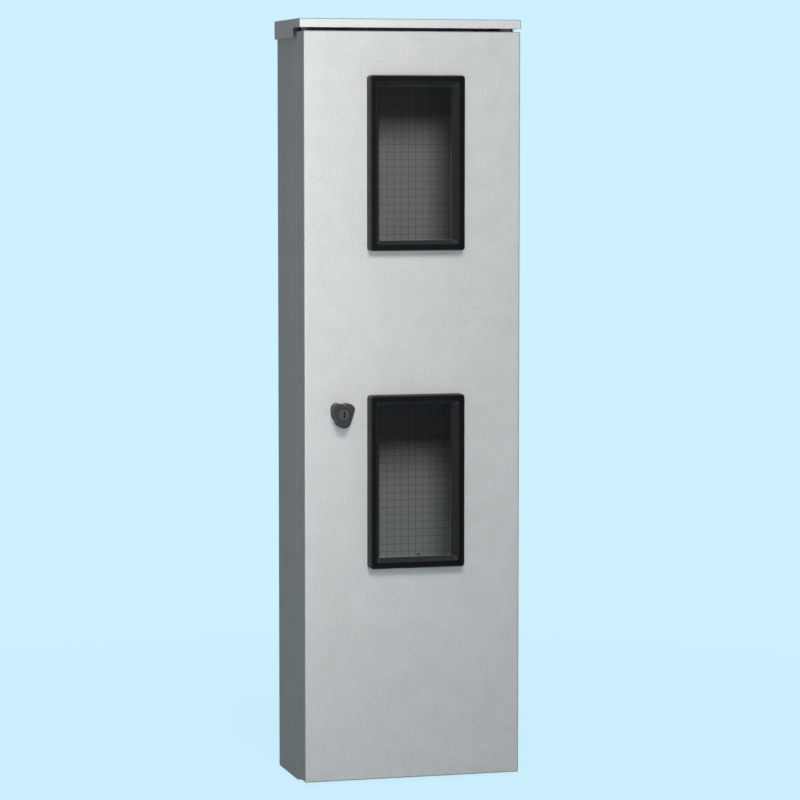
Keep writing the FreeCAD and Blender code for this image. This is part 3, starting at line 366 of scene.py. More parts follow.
def edge_wear_and_highlight_group():
    """Mask of the worn edges, broken up by noise; where it lightens the edges strongly, as on the window
    frames, it paints a highlight.
    """
    tree, given, result = new_group("Edge Wear And Highlight", {"Radius": 0.0015, "Amount": 1.0}, ["Mask"])
    rounded = add_node(tree, "ShaderNodeBevel", {"Radius": given.outputs["Radius"]}, samples=4).outputs[0]
    agree = add_node(tree, "ShaderNodeVectorMath", {0: face_normal(tree), 1: rounded},
                     operation="DOT_PRODUCT").outputs["Value"]
    edge = product(tree, maths(tree, "SUBTRACT", 1.0, agree), 6.0, clamp=True)
    broken = product(tree, noise(tree, object_coordinates(tree), 160.0, 4.0, 0.7), given.outputs["Amount"])
    tree.links.new(product(tree, edge, broken, clamp=True), result.inputs["Mask"])
    return tree


def rounding_highlight_group():
    """Mask of the roundings and bevels between the straight faces of a square moulding, on which a highlight
    is painted.
    """
    tree, given, result = new_group("Painted Rounding Highlight", {"Amount": 0.9}, ["Mask"])
    normal = axes(tree, face_normal(tree))
    sizes = [maths(tree, "ABSOLUTE", normal[axis]) for axis in ("X", "Y", "Z")]
    largest = maths(tree, "MAXIMUM", maths(tree, "MAXIMUM", sizes[0], sizes[1]), sizes[2])
    slant = product(tree, maths(tree, "SUBTRACT", 1.0, largest), 5.0, clamp=True)
    tree.links.new(product(tree, slant, given.outputs["Amount"]), result.inputs["Mask"])
    return tree


def joint_painted_shade_group():
    """Mask of painted shade in the joint under the roof cap, on faces that look forward: full left of Side,
    faint right of it.
    """
    tree, given, result = new_group(
        "Painted Corner Shade", {"Height": 0.472, "Depth": -0.118, "Side": -0.139}, ["Mask"])
    where = object_coordinates(tree)
    place = axes(tree, where)
    facing_front = product(tree, axes(tree, face_normal(tree))["Y"], -1.2, clamp=True)
    high = maths(tree, "GREATER_THAN", place["Z"], given.outputs["Height"])
    deep = maths(tree, "GREATER_THAN", place["Y"], given.outputs["Depth"])
    outer = maths(tree, "LESS_THAN", place["X"], given.outputs["Side"])
    share = maths(tree, "ADD", product(tree, outer, 0.9), 0.1)
    cloud = maths(tree, "ADD", product(tree, noise(tree, where, 220.0, 3.0), 0.3), 0.8)
    mask = product(tree, facing_front, high, deep, share)
    tree.links.new(product(tree, mask, cloud, clamp=True), result.inputs["Mask"])
    return tree


def inside_painted_shade_group():
    """Mask of the case's faces inside it, which are painted darker as shade."""
    tree, given, result = new_group(
        "Painted Inside Shade", {"Half Width": 0.1453, "Front": -0.106, "Back": -0.0008, "Top": 0.47}, ["Mask"])
    place = axes(tree, object_coordinates(tree))
    within = maths(tree, "LESS_THAN", maths(tree, "ABSOLUTE", place["X"]), given.outputs["Half Width"])
    behind_front = maths(tree, "GREATER_THAN", place["Y"], given.outputs["Front"])
    before_back = maths(tree, "LESS_THAN", place["Y"], given.outputs["Back"])
    below_top = maths(tree, "LESS_THAN", place["Z"], given.outputs["Top"])
    tree.links.new(product(tree, within, behind_front, before_back, below_top), result.inputs["Mask"])
    return tree


def dust_group():
    """Mask of the thin dust on faces that look up."""
    tree, given, result = new_group("Dust", {"Amount": 0.3}, ["Mask"])
    up = maths(tree, "MAXIMUM", axes(tree, face_normal(tree))["Z"], 0.0)
    cloud = noise(tree, object_coordinates(tree), 60.0, 5.0, 0.65)
    tree.links.new(product(tree, product(tree, up, cloud), given.outputs["Amount"], clamp=True),
                   result.inputs["Mask"])
    return tree


def moulded_grain_group():
    """Fine grain and slight tone of a moulded or rubber surface."""
    tree, given, result = new_group("Moulded Grain", {"Scale": 900.0, "Tone": 0.2}, ["Tone", "Height"])
    where = object_coordinates(tree)
    fine = noise(tree, where, given.outputs["Scale"], 3.0, 0.6)
    broad = maths(tree, "SUBTRACT", noise(tree, where, 45.0, 3.0, 0.6), 0.5)
    tone = maths(tree, "ADD", product(tree, broad, given.outputs["Tone"]), 0.5)
    tree.links.new(tone, result.inputs["Tone"])
    tree.links.new(fine, result.inputs["Height"])
    return tree


EFFECTS = {"Sheet Grain": sheet_grain_group, "Edge Wear And Highlight": edge_wear_and_highlight_group, "Dust": dust_group,
           "Painted Rounding Highlight": rounding_highlight_group, "Painted Corner Shade": joint_painted_shade_group,
           "Painted Inside Shade": inside_painted_shade_group, "Moulded Grain": moulded_grain_group}


def effect(tree, name, **values):
    """Place one of the shared effects in a material."""
    group = bpy.data.node_groups.get(name) or EFFECTS[name]()
    made = tree.nodes.new("ShaderNodeGroup")
    made.node_tree = group
    for key, value in values.items():
        made.inputs[key.replace("_", " ").title()].default_value = value
    return made


# Materials

WARM_DUST = (0.46, 0.44, 0.4, 1.0)
GREY_DUST = (0.3, 0.29, 0.27, 1.0)
PALE_DUST = (0.4, 0.39, 0.36, 1.0)
# Painted shade: near black for the joint under the roof cap.
JOINT_PAINTED_SHADE = (0.012, 0.012, 0.012, 1.0)
# Painted shade: dark grey for the faces inside the case.
INSIDE_PAINTED_SHADE = (0.1, 0.1, 0.1, 1.0)
PANE_TINT = (0.93, 0.95, 0.94, 1.0)
PANE_LAMP_TINT = (0.9, 0.92, 0.91, 1.0)
PANE_SHADE_TINT = (0.2, 0.19, 0.19, 1.0)


def new_material(name):
    """Material with an empty Principled shader; returns the material, its tree and the shader."""
    material = bpy.data.materials.new(name)
    material.use_nodes = True
    return material, material.node_tree, material.node_tree.nodes["Principled BSDF"]


def shade(colour, factor):
    """Colour made lighter or darker, as a node's colour."""
    return (*[min(1.0, c * factor) for c in colour], 1.0)


def bump(tree, shader, height, strength, distance):
    """Feed a height to the shader's normal."""
    made = add_node(tree, "ShaderNodeBump", {"Height": height, "Strength": strength, "Distance": distance})
    tree.links.new(made.outputs[0], shader.inputs["Normal"])


def rough_from_tone(tree, tone, middle, spread):
    """Roughness that varies with a tone round its middle."""
    return maths(tree, "ADD", product(tree, tone, spread), middle - spread / 2, clamp=True)


def sheet_material(name, colour, look):
    """Matt ground stainless sheet with worn edges and a little dust; painted shade darkens the faces inside
    the case and the joint under the roof cap.
    """
    material, tree, shader = new_material(name)
    grain = effect(tree, "Sheet Grain", streaks=look.streak_amount, blotches=look.blotch_amount)
    wear_and_highlight = effect(tree, "Edge Wear And Highlight", radius=0.0012, amount=0.9)
    dust = effect(tree, "Dust", amount=0.35)
    corner_shade = effect(tree, "Painted Corner Shade")
    inside_shade = effect(tree, "Painted Inside Shade")
    tone = mix_colour(tree, grain.outputs["Tone"], shade(colour, 0.5), shade(colour, 1.5))
    tone = mix_colour(tree, wear_and_highlight.outputs["Mask"], tone, shade(colour, 1.25))
    tone = mix_colour(tree, dust.outputs["Mask"], tone, WARM_DUST)
    # Painted shade in the joint under the roof cap.
    tone = mix_colour(tree, corner_shade.outputs["Mask"], tone, JOINT_PAINTED_SHADE)
    # Painted shade on the faces inside the case.
    tone = mix_colour(tree, inside_shade.outputs["Mask"], tone, INSIDE_PAINTED_SHADE)
    tree.links.new(tone, shader.inputs["Base Color"])
    shader.inputs["Metallic"].default_value = look.sheet_metallic
    rough = rough_from_tone(tree, grain.outputs["Tone"], look.sheet_roughness, 0.3)
    rough = maths(tree, "ADD", rough, product(tree, dust.outputs["Mask"], 0.3), clamp=True)
    tree.links.new(rough, shader.inputs["Roughness"])
    bump(tree, shader, grain.outputs["Height"], 0.18, 0.00008)
    return material


def plated_material(name, colour, roughness):
    """Plated or turned metal with cloudy tone."""
    material, tree, shader = new_material(name)
    grain = effect(tree, "Sheet Grain", streaks=0.03, blotches=0.25)
    wear_and_highlight = effect(tree, "Edge Wear And Highlight", radius=0.0005, amount=0.8)
    tone = mix_colour(tree, grain.outputs["Tone"], shade(colour, 0.6), shade(colour, 1.4))
    tone = mix_colour(tree, wear_and_highlight.outputs["Mask"], tone, shade(colour, 1.3))
    tree.links.new(tone, shader.inputs["Base Color"])
    shader.inputs["Metallic"].default_value = 1.0
    tree.links.new(rough_from_tone(tree, grain.outputs["Tone"], roughness, 0.2), shader.inputs["Roughness"])
    bump(tree, shader, grain.outputs["Height"], 0.1, 0.00005)
    return material


def moulded_material(name, colour, roughness, grain, wear_and_highlight, specular, dust_amount=0.12, rounding_highlight=0.0):
    """Moulded plastic or rubber: grain is its scale and depth, and the argument after it the edge mask's
    radius, amount and tone. A high edge tone, as on the window frames, is a painted highlight; the last
    argument paints a highlight on roundings and bevels.
    """
    material, tree, shader = new_material(name)
    grain_scale, grain_depth = grain
    wear_radius, wear_amount, wear_and_highlight_tone = wear_and_highlight
    surface = effect(tree, "Moulded Grain", scale=grain_scale, tone=0.5)
    edges = effect(tree, "Edge Wear And Highlight", radius=wear_radius, amount=wear_amount)
    dust = effect(tree, "Dust", amount=dust_amount)
    tone = mix_colour(tree, surface.outputs["Tone"], shade(colour, 0.6), shade(colour, 1.4))
    # On the window frames this edge tone is high enough to be a painted highlight.
    tone = mix_colour(tree, edges.outputs["Mask"], tone, shade(colour, wear_and_highlight_tone))
    # Painted highlight on the roundings and bevels.
    if rounding_highlight:
        rounding = effect(tree, "Painted Rounding Highlight", amount=rounding_highlight)
        tone = mix_colour(tree, rounding.outputs["Mask"], tone, shade(colour, wear_and_highlight_tone))
    tone = mix_colour(tree, dust.outputs["Mask"], tone, GREY_DUST)
    tree.links.new(tone, shader.inputs["Base Color"])
    shader.inputs["Specular IOR Level"].default_value = specular
    rough = rough_from_tone(tree, surface.outputs["Tone"], roughness, 0.24)
    tree.links.new(rough, shader.inputs["Roughness"])
    bump(tree, shader, surface.outputs["Height"], 0.25, grain_depth)
    return material


def painted_material(name, colour):
    """Matt powder coat with orange peel and a cloudy tone."""
    material, tree, shader = new_material(name)
    grain = effect(tree, "Moulded Grain", scale=500.0, tone=0.25)
    dust = effect(tree, "Dust", amount=0.4)
    tone = mix_colour(tree, grain.outputs["Tone"], shade(colour, 0.8), shade(colour, 1.2))
    tone = mix_colour(tree, dust.outputs["Mask"], tone, PALE_DUST)
    tree.links.new(tone, shader.inputs["Base Color"])
    shader.inputs["Specular IOR Level"].default_value = 0.1
    tree.links.new(rough_from_tone(tree, grain.outputs["Tone"], 0.55, 0.2), shader.inputs["Roughness"])
    bump(tree, shader, grain.outputs["Height"], 0.2, 0.0002)
    return material


def glass_material(name):
    """Clear pane with faint smears, which lets lamp light through to the boards but little other light."""
    material, tree, shader = new_material(name)
    grain = effect(tree, "Moulded Grain", scale=30.0, tone=1.0)
    tree.links.new(product(tree, grain.outputs["Tone"], 0.05), shader.inputs["Roughness"])
    shader.inputs["Base Color"].default_value = PANE_TINT
    shader.inputs["Transmission Weight"].default_value = 1.0
    shader.inputs["IOR"].default_value = 1.45
    shader.inputs["Specular IOR Level"].default_value = 0.1
    path = add_node(tree, "ShaderNodeLightPath")
    lighting = maths(tree, "MAXIMUM", path.outputs["Is Shadow Ray"], path.outputs["Is Diffuse Ray"])
    tint = mix_colour(tree, path.outputs["Is Diffuse Ray"], PANE_LAMP_TINT, PANE_SHADE_TINT)
    clear = add_node(tree, "ShaderNodeBsdfTransparent", {"Color": tint}).outputs[0]
    both = add_node(tree, "ShaderNodeMixShader", {0: lighting, 1: shader.outputs[0], 2: clear}).outputs[0]
    tree.links.new(both, tree.nodes["Material Output"].inputs["Surface"])
    return material


def paint(material, slot, *names):
    """Give CAD nodes or pieces a material; slot is not used."""
    for name in names:
        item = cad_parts.get(name) or bpy.data.objects[name]
        item.data.materials.clear()
        item.data.materials.append(material)


# Pieces

class METERBOX_OT_sheet_metal(bpy.types.Operator):
    """Finish the case, the roof cap, the keeper and the door as matt stainless sheet"""
    bl_idname = "meterbox.sheet_metal"
    bl_label = "Case and Door"

    def execute(self, context):
        look = context.scene.meterbox_finish
        case = sheet_material("case_stainless", look.case_colour, look)
        # Painted light: a lighter copy of the case's sheet for the roof cap.
        cap = sheet_material("cap_stainless_painted_light", look.cap_painted_light_colour, look)
        door = sheet_material("door_stainless", look.door_colour, look)
        paint(case, "case_sheet", "back_and_sides", "top_plate", "bottom_plate", "latch_keeper")
        paint(cap, "case_sheet", "roof_cap")
        paint(door, "door_sheet", "door_panel")
        return {"FINISHED"}


def model_window_wires(name, pane):
    """Square wire mesh inside one pane: upright wires in front, level wires behind."""
    wires = bpy.context.scene.meterbox_wires
    low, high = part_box(pane)
    middle = (low + high) / 2
    radius = wires.diameter / 2
    sets = []
    for along, across, depth in (("z", "x", middle.y - radius * 0.9), ("x", "z", middle.y + radius * 0.9)):
        length = getattr(high, along) - getattr(low, along) - 2 * wires.edge_gap
        room = getattr(high, across) - getattr(low, across) - 2 * wires.edge_gap
        count = int(room / wires.pitch) + 1
        start = getattr(middle, across) - (count - 1) * wires.pitch / 2
        place = Vector((middle.x, depth, middle.z))
        setattr(place, across, start)
        turn = (0, math.pi / 2, 0) if along == "x" else (0, 0, 0)
        bpy.ops.mesh.primitive_cylinder_add(vertices=8, radius=radius, depth=length, location=place,
                                            rotation=turn)
        rod = bpy.context.object
        bpy.ops.object.transform_apply(location=True, rotation=True, scale=True)
        step = (wires.pitch, 0, 0) if across == "x" else (0, 0, wires.pitch)
        apply_modifier(rod, "ARRAY", count=count, use_relative_offset=False, use_constant_offset=True,
                       constant_offset_displace=step)
        sets.append(rod)
    made = join(sets, name)
    pick(made)
    bpy.ops.object.shade_smooth_by_angle(angle=math.radians(50))
    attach(made, "door")
    return made


class METERBOX_OT_windows(bpy.types.Operator):
    """Finish the window frames and panes, and model the wire mesh inside the panes"""
    bl_idname = "meterbox.windows"
    bl_label = "Windows"

    def execute(self, context):
        look = context.scene.meterbox_finish
        # Painted highlight: a bright edge tone and the rounding mask light the frames' edges, roundings and
        # bevels.
        frames = moulded_material("frame_moulding", look.moulding_colour, 0.42, grain=(1400.0, 0.00006),
                                  wear_and_highlight=(0.0022, 0.9, 14.0), specular=0.07, dust_amount=0.06, rounding_highlight=0.8)
        paint(frames, "black_moulding", "upper_window_frame", "lower_window_frame")
        paint(glass_material("window_pane"), "window_glass", "upper_window_glass", "lower_window_glass")
        wire = painted_material("glass_wire", context.scene.meterbox_wires.colour)
        for side in ("upper", "lower"):
            model_window_wires(side + "_window_wires", side + "_window_glass")
            paint(wire, "zinc_plate", side + "_window_wires")
        return {"FINISHED"}


def model_rose(radius, neck_radius, bore_radius):
    """Turned rose under the knob, wider than the CAD node that it stands for."""
    low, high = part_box("knob_rose")
    middle = (low + high) / 2
    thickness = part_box("rose_washer")[0].y - low.y
    bpy.ops.mesh.primitive_cylinder_add(
        vertices=96, radius=radius, depth=thickness, location=(middle.x, low.y + thickness / 2, middle.z),
        rotation=(math.pi / 2, 0, 0))
    rose = bpy.context.object
    bpy.ops.object.transform_apply(location=True, rotation=True, scale=True)
    select_faces(rose, lambda normal: normal.y > 0.9)
    bpy.ops.mesh.inset(thickness=radius - neck_radius)
    bpy.ops.mesh.extrude_region_move(
        TRANSFORM_OT_translate={"value": (0, high.y - low.y - thickness, 0), "orient_type": "GLOBAL"})
    select_faces(rose, lambda normal: normal.y < -0.9)
    bpy.ops.mesh.bevel(offset=thickness * 0.45, segments=5, profile=0.6, affect="EDGES")
    bpy.ops.object.mode_set(mode="OBJECT")
    bpy.ops.mesh.primitive_cylinder_add(vertices=64, radius=bore_radius, depth=3 * (high.y - low.y),
                                        location=middle, rotation=(math.pi / 2, 0, 0))
    drill = bpy.context.object
    bpy.ops.object.transform_apply(location=True, rotation=True, scale=True)
    apply_modifier(rose, "BOOLEAN", operation="DIFFERENCE", object=drill, solver="EXACT")
    bpy.data.objects.remove(drill)
    settle(rose, "knob_rose_wide")
    bpy.ops.object.shade_smooth_by_angle(angle=math.radians(40))
    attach(rose, "door")
    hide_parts("knob_rose")
    return rose


class METERBOX_OT_knob(bpy.types.Operator):
    """Model the knob's rose, and finish it, the knob and the lock plug"""
    bl_idname = "meterbox.knob"
    bl_label = "Knob and Lock"

    def execute(self, context):
        look = context.scene.meterbox_finish
        grip = moulded_material("knob_moulding", look.knob_colour, 0.42, grain=(1100.0, 0.00008),
                                wear_and_highlight=(0.0009, 0.15, 4.0), specular=0.07, dust_amount=0.03)
        # Painted shade: the rose is a darker copy of the knob's moulding.
        dark = moulded_material("rose_moulding_painted_shade", look.rose_shaded_colour, 0.5, grain=(1100.0, 0.00008),
                                wear_and_highlight=(0.0009, 0.1, 4.0), specular=0.05, dust_amount=0.02)
        rose = model_rose(radius=0.0146, neck_radius=0.010, bore_radius=0.00605)
        paint(grip, "knob_moulding", "lobed_knob")
        paint(dark, "knob_moulding", rose.name)
        paint(plated_material("lock_plated", look.lock_colour, 0.4), "lock_metal", "lock_plug")
        return {"FINISHED"}


def model_screw_head(radius, height, recess, facing):
    """Pan head at the origin with its seat at y 0, and a cross or a slot cut into it."""
    bpy.ops.mesh.primitive_cylinder_add(vertices=28, radius=radius, depth=height,
                                        location=(0, facing * height / 2, 0), rotation=(math.pi / 2, 0, 0))
    head = bpy.context.object
    bpy.ops.object.transform_apply(location=True, rotation=True, scale=True)
    select_faces(head, lambda normal: normal.y * facing > 0.9)
    bpy.ops.mesh.bevel(offset=height * 0.45, segments=4, profile=0.6, affect="EDGES")
    bpy.ops.object.mode_set(mode="OBJECT")
    width = radius * 0.24
    reach = radius * (1.2 if recess == "cross" else 2.4)
    cutters = []
    for turned in ((False, True) if recess == "cross" else (False,)):
        size = (width, height * 1.2, reach) if turned else (reach, height * 1.2, width)
        bpy.ops.mesh.primitive_cube_add(size=1, location=(0, facing * height, 0), scale=size)
        cutters.append(bpy.context.object)
        bpy.ops.object.transform_apply(location=True, rotation=True, scale=True)
    for cutter in cutters:
        apply_modifier(head, "BOOLEAN", operation="DIFFERENCE", object=cutter, solver="EXACT")
        bpy.data.objects.remove(cutter)
    pick(head)
    bpy.ops.object.shade_smooth_by_angle(angle=math.radians(40))
    return head


def model_screws(node, body, recess, facing, head, shank):
    """Screws with cut heads in place of one CAD node's plain ones."""
    low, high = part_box(node)
    head_radius, head_height = head
    seat = (high.y - head_height) if facing > 0 else (low.y + head_height)
    places = [(x, seat, z) for x, z in spots(node)]
    heads = copies(model_screw_head(head_radius, head_height, recess, facing), places)
    far = low.y if facing > 0 else high.y
    length = abs(seat - far)
    shanks = []
    for x, y, z in places:
        bpy.ops.mesh.primitive_cylinder_add(vertices=20, radius=shank, depth=length,
                                            location=(x, (seat + far) / 2, z), rotation=(math.pi / 2, 0, 0))
        shanks.append(bpy.context.object)
    made = join(heads + shanks, node + "_cut_heads")
    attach(made, body)
    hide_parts(node)
    return made


class METERBOX_OT_fasteners(bpy.types.Operator):
    """Model the screws with their recesses, and finish the plated parts"""
    bl_idname = "meterbox.fasteners"
    bl_label = "Fasteners"

    def execute(self, context):
        look = context.scene.meterbox_finish
        zinc = plated_material("zinc_plated", look.zinc_colour, 0.34)
        paint(zinc, "zinc_plate", "board_studs", "board_nuts", "breaker_rail", "rail_bracket_left",
              "rail_bracket_right", "earth_bar_posts", "upper_clamp_frame", "lower_clamp_frame",
              "latch_cam", "cam_washer", "cam_nut", "rose_locknut", "knob_spindle")
        for node, body, recess, facing, head, shank in (
                ("rail_screws", "cabinet", "cross", -1, (0.0045, 0.0028), 0.0024),
                ("upper_clamp_screws", "door", "cross", 1, (0.003, 0.002), 0.0014),
                ("lower_clamp_screws", "door", "cross", 1, (0.003, 0.002), 0.0014)):
            made = model_screws(node, body, recess, facing, head, shank)
            paint(zinc, "zinc_plate", made.name)
        return {"FINISHED"}


def model_screws_in_two_lengths():
    """The earth bar's screws: short ones over the wires and long ones in the posts."""
    node = "earth_bar_screws"
    low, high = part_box(node)
    bar_low, bar_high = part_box("earth_bar")
    post_low, post_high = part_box("earth_bar_posts")
    seat = bar_low.y
    places = [(x, seat, z) for x, z in spots(node)]
    pieces = copies(model_screw_head(0.0032, seat - low.y, "slot", -1), places)
    for x, y, z in places:
        fixing = x < post_low.x + 0.011 or x > post_high.x - 0.011
        length = (high.y if fixing else (bar_low.y + bar_high.y) / 2 - 0.0025) - seat
        bpy.ops.mesh.primitive_cylinder_add(vertices=20, radius=0.0019, depth=length,
                                            location=(x, seat + length / 2, z), rotation=(math.pi / 2, 0, 0))
        pieces.append(bpy.context.object)
    made = join(pieces, node + "_cut_heads")
    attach(made, "cabinet")
    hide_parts(node)
    return made


class METERBOX_OT_inside(bpy.types.Operator):
    """Finish the meter boards and the earth bar, and model the earth bar's slotted screws"""
    bl_idname = "meterbox.inside"
    bl_label = "Inside"

    def execute(self, context):
        look = context.scene.meterbox_finish
        paint(painted_material("board_grey", look.board_colour), "board_paint",
              "upper_meter_board", "lower_meter_board")
        brass = plated_material("earth_brass", look.brass_colour, 0.3)
        screws = model_screws_in_two_lengths()
        paint(brass, "brass", "earth_bar", screws.name)
        return {"FINISHED"}


def model_rivets(name, leaves, body):
    """Two domed rivets on each of these hinge leaves."""
    leaf_thickness = 0.002
    edge_distance = 0.009
    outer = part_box("door_panel")[1].x + leaf_thickness
    places = []
    for leaf in leaves:
        low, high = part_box(leaf)
        y = high.y - edge_distance if "cabinet" in leaf else low.y + edge_distance
        rise = (high.z - low.z) / 3.4
        middle = (low.z + high.z) / 2
        places += [(outer, y, middle - rise), (outer, y, middle + rise)]
    bpy.ops.mesh.primitive_cylinder_add(vertices=20, radius=0.0026, depth=0.0011,
                                        location=(0.00055, 0, 0), rotation=(0, math.pi / 2, 0))
    dome = bpy.context.object
    bpy.ops.object.transform_apply(location=True, rotation=True, scale=True)
    select_faces(dome, lambda normal: normal.x > 0.9)
    bpy.ops.mesh.bevel(offset=0.0009, segments=4, profile=0.55, affect="EDGES")
    bpy.ops.object.mode_set(mode="OBJECT")
    pick(dome)
    bpy.ops.object.shade_smooth_by_angle(angle=math.radians(40))
    made = join(copies(dome, places), name)
    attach(made, body)
    return made


class METERBOX_OT_hinges(bpy.types.Operator):
    """Finish the hinges and model their rivets"""
    bl_idname = "meterbox.hinges"
    bl_label = "Hinges"

    def execute(self, context):
        steel = plated_material("hinge_satin", context.scene.meterbox_finish.hinge_colour, 0.4)
        nodes = [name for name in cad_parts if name.startswith("hinge_")]
        paint(steel, "hinge_steel", *nodes)
        for kind, body in (("cabinet_leaf", "cabinet"), ("door_leaf", "door")):
            leaves = [name for name in nodes if name.endswith(kind)]
            made = model_rivets("hinge_rivets_" + body, leaves, body)
            paint(steel, "hinge_steel", made.name)
        return {"FINISHED"}


class METERBOX_OT_seals(bpy.types.Operator):
    """Finish the door seal, the glass seals, the washer and the cable grommets"""
    bl_idname = "meterbox.seals"
    bl_label = "Seals and Grommets"

    def execute(self, context):
        look = context.scene.meterbox_finish
        rubber = moulded_material("soft_rubber", look.rubber_colour, 0.62, grain=(700.0, 0.00012),
                                  wear_and_highlight=(0.0009, 0.3, 4.0), specular=0.3)
        paint(rubber, "black_rubber", "cable_grommet_left", "cable_grommet_right", "rose_washer",
              "upper_glass_seal", "lower_glass_seal", "door_seal")
        return {"FINISHED"}


# Studio

def background_mask(tree):
    """1 where the plain background is seen straight, in a first reflection or through a pane; else 0."""
    path = add_node(tree, "ShaderNodeLightPath").outputs
    first_bounce = maths(tree, "LESS_THAN", path["Ray Depth"], 1.5)
    one_pane = maths(tree, "LESS_THAN", path["Ray Depth"], 2.5)
    mirrored = product(tree, path["Is Glossy Ray"], first_bounce)
    through = product(tree, path["Is Transmission Ray"], one_pane)
    return maths(tree, "MAXIMUM", maths(tree, "MAXIMUM", path["Is Camera Ray"], mirrored), through)


FLOOR_RADIUS = 30
FLOOR_GAP = 0.0005
TENT_RADIUS = 14
TENT_GAP = 0.0003


def make_floor(colour):
    """Wide plain floor under the box, which keeps a soft shadow."""
    bpy.ops.mesh.primitive_circle_add(vertices=96, radius=FLOOR_RADIUS, fill_type="NGON",
                                      location=(0, 0, cad_bounds[0].z - FLOOR_GAP))
    floor = settle(bpy.context.object, "studio_floor")
    material = bpy.data.materials.new("studio_floor")
    material.use_nodes = True
    tree = material.node_tree
    tree.nodes.clear()
    where = object_coordinates(tree)
    cloud = noise(tree, where, 0.8, 2.0)
    tone = mix_colour(tree, cloud, shade(colour, 0.97), shade(colour, 1.0))
    plain = add_node(tree, "ShaderNodeEmission", {"Color": shade(colour, 1.0), "Strength": 1.0}).outputs[0]
    lit = add_node(tree, "ShaderNodeBsdfDiffuse", {"Color": tone}).outputs[0]
    far = add_node(tree, "ShaderNodeVectorMath", {0: where}, operation="LENGTH").outputs["Value"]
    share = smooth_range(tree, far, (0.3, 1.6), (0.93, 1.0))
    seen = add_node(tree, "ShaderNodeMixShader", {0: share, 1: lit, 2: plain}).outputs[0]
    either = add_node(tree, "ShaderNodeMixShader", {0: background_mask(tree), 1: lit, 2: seen}).outputs[0]
    below = add_node(tree, "ShaderNodeNewGeometry").outputs["Backfacing"]
    clear = add_node(tree, "ShaderNodeBsdfTransparent").outputs[0]
    both = add_node(tree, "ShaderNodeMixShader", {0: below, 1: either, 2: clear}).outputs[0]
    add_node(tree, "ShaderNodeOutputMaterial", {"Surface": both})
    floor.data.materials.append(material)


def make_surroundings(colour, ambient):
    """Even neutral light from all round, and the plain background where it is seen."""
    world = bpy.data.worlds.new("studio_surroundings")
    world.use_nodes = True
    tree = world.node_tree
    tree.nodes.clear()
    light = add_node(tree, "ShaderNodeBackground", {"Color": (1, 1, 1, 1), "Strength": ambient}).outputs[0]
    seen = add_node(tree, "ShaderNodeBackground", {"Color": shade(colour, 1.0), "Strength": 1.0}).outputs[0]
    both = add_node(tree, "ShaderNodeMixShader", {0: background_mask(tree), 1: light, 2: seen}).outputs[0]
    add_node(tree, "ShaderNodeOutputWorld", {"Surface": both})
    bpy.context.scene.world = world


def make_tent(front_tone, rear_tone):
    """Wide grey tent that only reflections see: dark in front, lighter behind and above."""
    bpy.ops.mesh.primitive_uv_sphere_add(segments=48, ring_count=24, radius=TENT_RADIUS)
    tent = bpy.context.object
    bpy.ops.object.mode_set(mode="EDIT")
    bpy.ops.mesh.select_all(action="SELECT")
    bpy.ops.mesh.bisect(plane_co=(0, 0, cad_bounds[0].z - TENT_GAP), plane_no=(0, 0, 1), use_fill=True,
                        clear_inner=True)
    bpy.ops.object.mode_set(mode="OBJECT")
    settle(tent, "reflection_tent")
    material = bpy.data.materials.new("reflection_tent")
    material.use_nodes = True
    tree = material.node_tree
    tree.nodes.clear()
    place = axes(tree, object_coordinates(tree))
    behind = maths(tree, "ADD", place["Y"], product(tree, place["Z"], 0.6))
    tone = smooth_range(tree, behind, (-6.0, 6.0), (front_tone, rear_tone))
    glow = add_node(tree, "ShaderNodeEmission", {"Color": tone, "Strength": 1.0}).outputs[0]
    add_node(tree, "ShaderNodeOutputMaterial", {"Surface": glow})
    tent.data.materials.append(material)
    for ray in ("camera", "diffuse", "transmission", "volume_scatter", "shadow"):
        setattr(tent, "visible_" + ray, False)


def add_lamp(name, place, target, size, power, only_reflections=False):
    """Square area lamp aimed at a point."""
    way = Vector(target) - Vector(place)
    bpy.ops.object.light_add(type="AREA", location=place, rotation=way.to_track_quat("-Z", "Y").to_euler())
    lamp = bpy.context.object
    lamp.name = name
    lamp.data.size = size
    lamp.data.energy = power
    lamp.visible_diffuse = not only_reflections


def add_camera(azimuth, pitch, lens):
    """Camera at the photograph's angle, about 4.3 m away."""
    place = (-1.1442, -4.3001, 0.3539)
    level = math.cos(pitch)
    way = Vector((-math.sin(azimuth) * level, math.cos(azimuth) * level, -math.sin(pitch)))
    bpy.ops.object.camera_add(location=place, rotation=way.to_track_quat("-Z", "Y").to_euler())
    camera = bpy.context.object
    camera.data.lens = lens
    bpy.context.scene.camera = camera


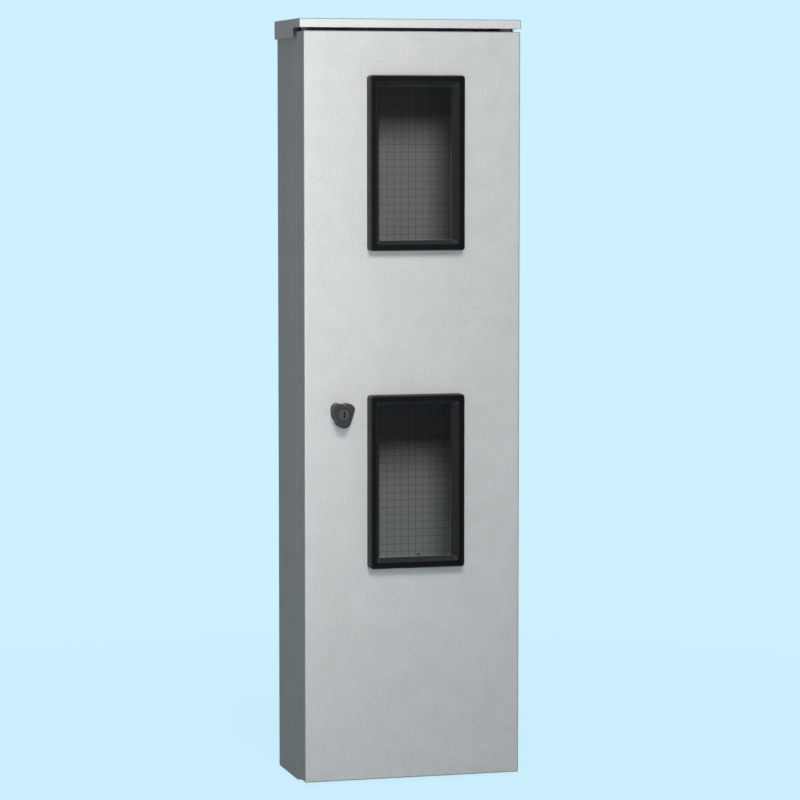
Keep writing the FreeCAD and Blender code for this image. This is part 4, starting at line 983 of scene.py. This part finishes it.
class METERBOX_OT_stage(bpy.types.Operator):
    """Make the floor, the surroundings, the lamps and the camera"""
    bl_idname = "meterbox.stage"
    bl_label = "Studio"

    def execute(self, context):
        stage = context.scene.meterbox_stage
        deselect_all()
        make_floor(stage.background)
        make_surroundings(stage.background, stage.ambient)
        make_tent(stage.front_tone, stage.rear_tone)
        door_front = -0.15
        add_lamp("key_lamp", (-0.33, -2.6, 1.42), (0, door_front, -0.9), 0.8, stage.key_power)
        add_lamp("sheen_lamp", (-0.44, -2.5, 0.07), (0, door_front, -0.6), 0.7, stage.sheen_power,
                 only_reflections=True)
        add_lamp("fill_lamp", (-1.8, -2.0, 1.2), (0, door_front, 0.1), 0.7, stage.fill_power)
        add_lamp("rear_lamp", (0.9, 2.8, 1.5), (0, 0, 0), 1.0, stage.rear_power)
        add_camera(stage.camera_azimuth, stage.camera_pitch, stage.lens)
        context.scene.view_settings.view_transform = "Standard"
        return {"FINISHED"}


class METERBOX_PT_panel(bpy.types.Panel):
    """Looks of the meter box"""
    bl_idname = "METERBOX_PT_panel"
    bl_label = "Meter Box"
    bl_space_type = "VIEW_3D"
    bl_region_type = "UI"
    bl_category = "Meter Box"

    def draw(self, context):
        layout = self.layout
        scene = context.scene
        for group in (scene.meterbox_finish, scene.meterbox_wires, scene.meterbox_stage):
            box = layout.box()
            for name in group.__annotations__:
                box.prop(group, name)
        for operator in OPERATORS:
            layout.operator(operator.bl_idname)


GROUPS = (MeterBoxFinish, MeterBoxWires, MeterBoxStage)
OPERATORS = (METERBOX_OT_sheet_metal, METERBOX_OT_windows, METERBOX_OT_knob, METERBOX_OT_fasteners,
             METERBOX_OT_inside, METERBOX_OT_hinges, METERBOX_OT_seals, METERBOX_OT_stage)


def register():
    for item in (*GROUPS, *OPERATORS, METERBOX_PT_panel):
        bpy.utils.register_class(item)
    bpy.types.Scene.meterbox_finish = bpy.props.PointerProperty(type=MeterBoxFinish)
    bpy.types.Scene.meterbox_wires = bpy.props.PointerProperty(type=MeterBoxWires)
    bpy.types.Scene.meterbox_stage = bpy.props.PointerProperty(type=MeterBoxStage)


def unregister():
    del bpy.types.Scene.meterbox_stage
    del bpy.types.Scene.meterbox_wires
    del bpy.types.Scene.meterbox_finish
    for item in reversed((*GROUPS, *OPERATORS, METERBOX_PT_panel)):
        bpy.utils.unregister_class(item)


def main():
    register()
    deselect_all()
    for operator in OPERATORS:
        family, name = operator.bl_idname.split(".")
        getattr(getattr(bpy.ops, family), name)()


if __name__ == "__main__":
    main()
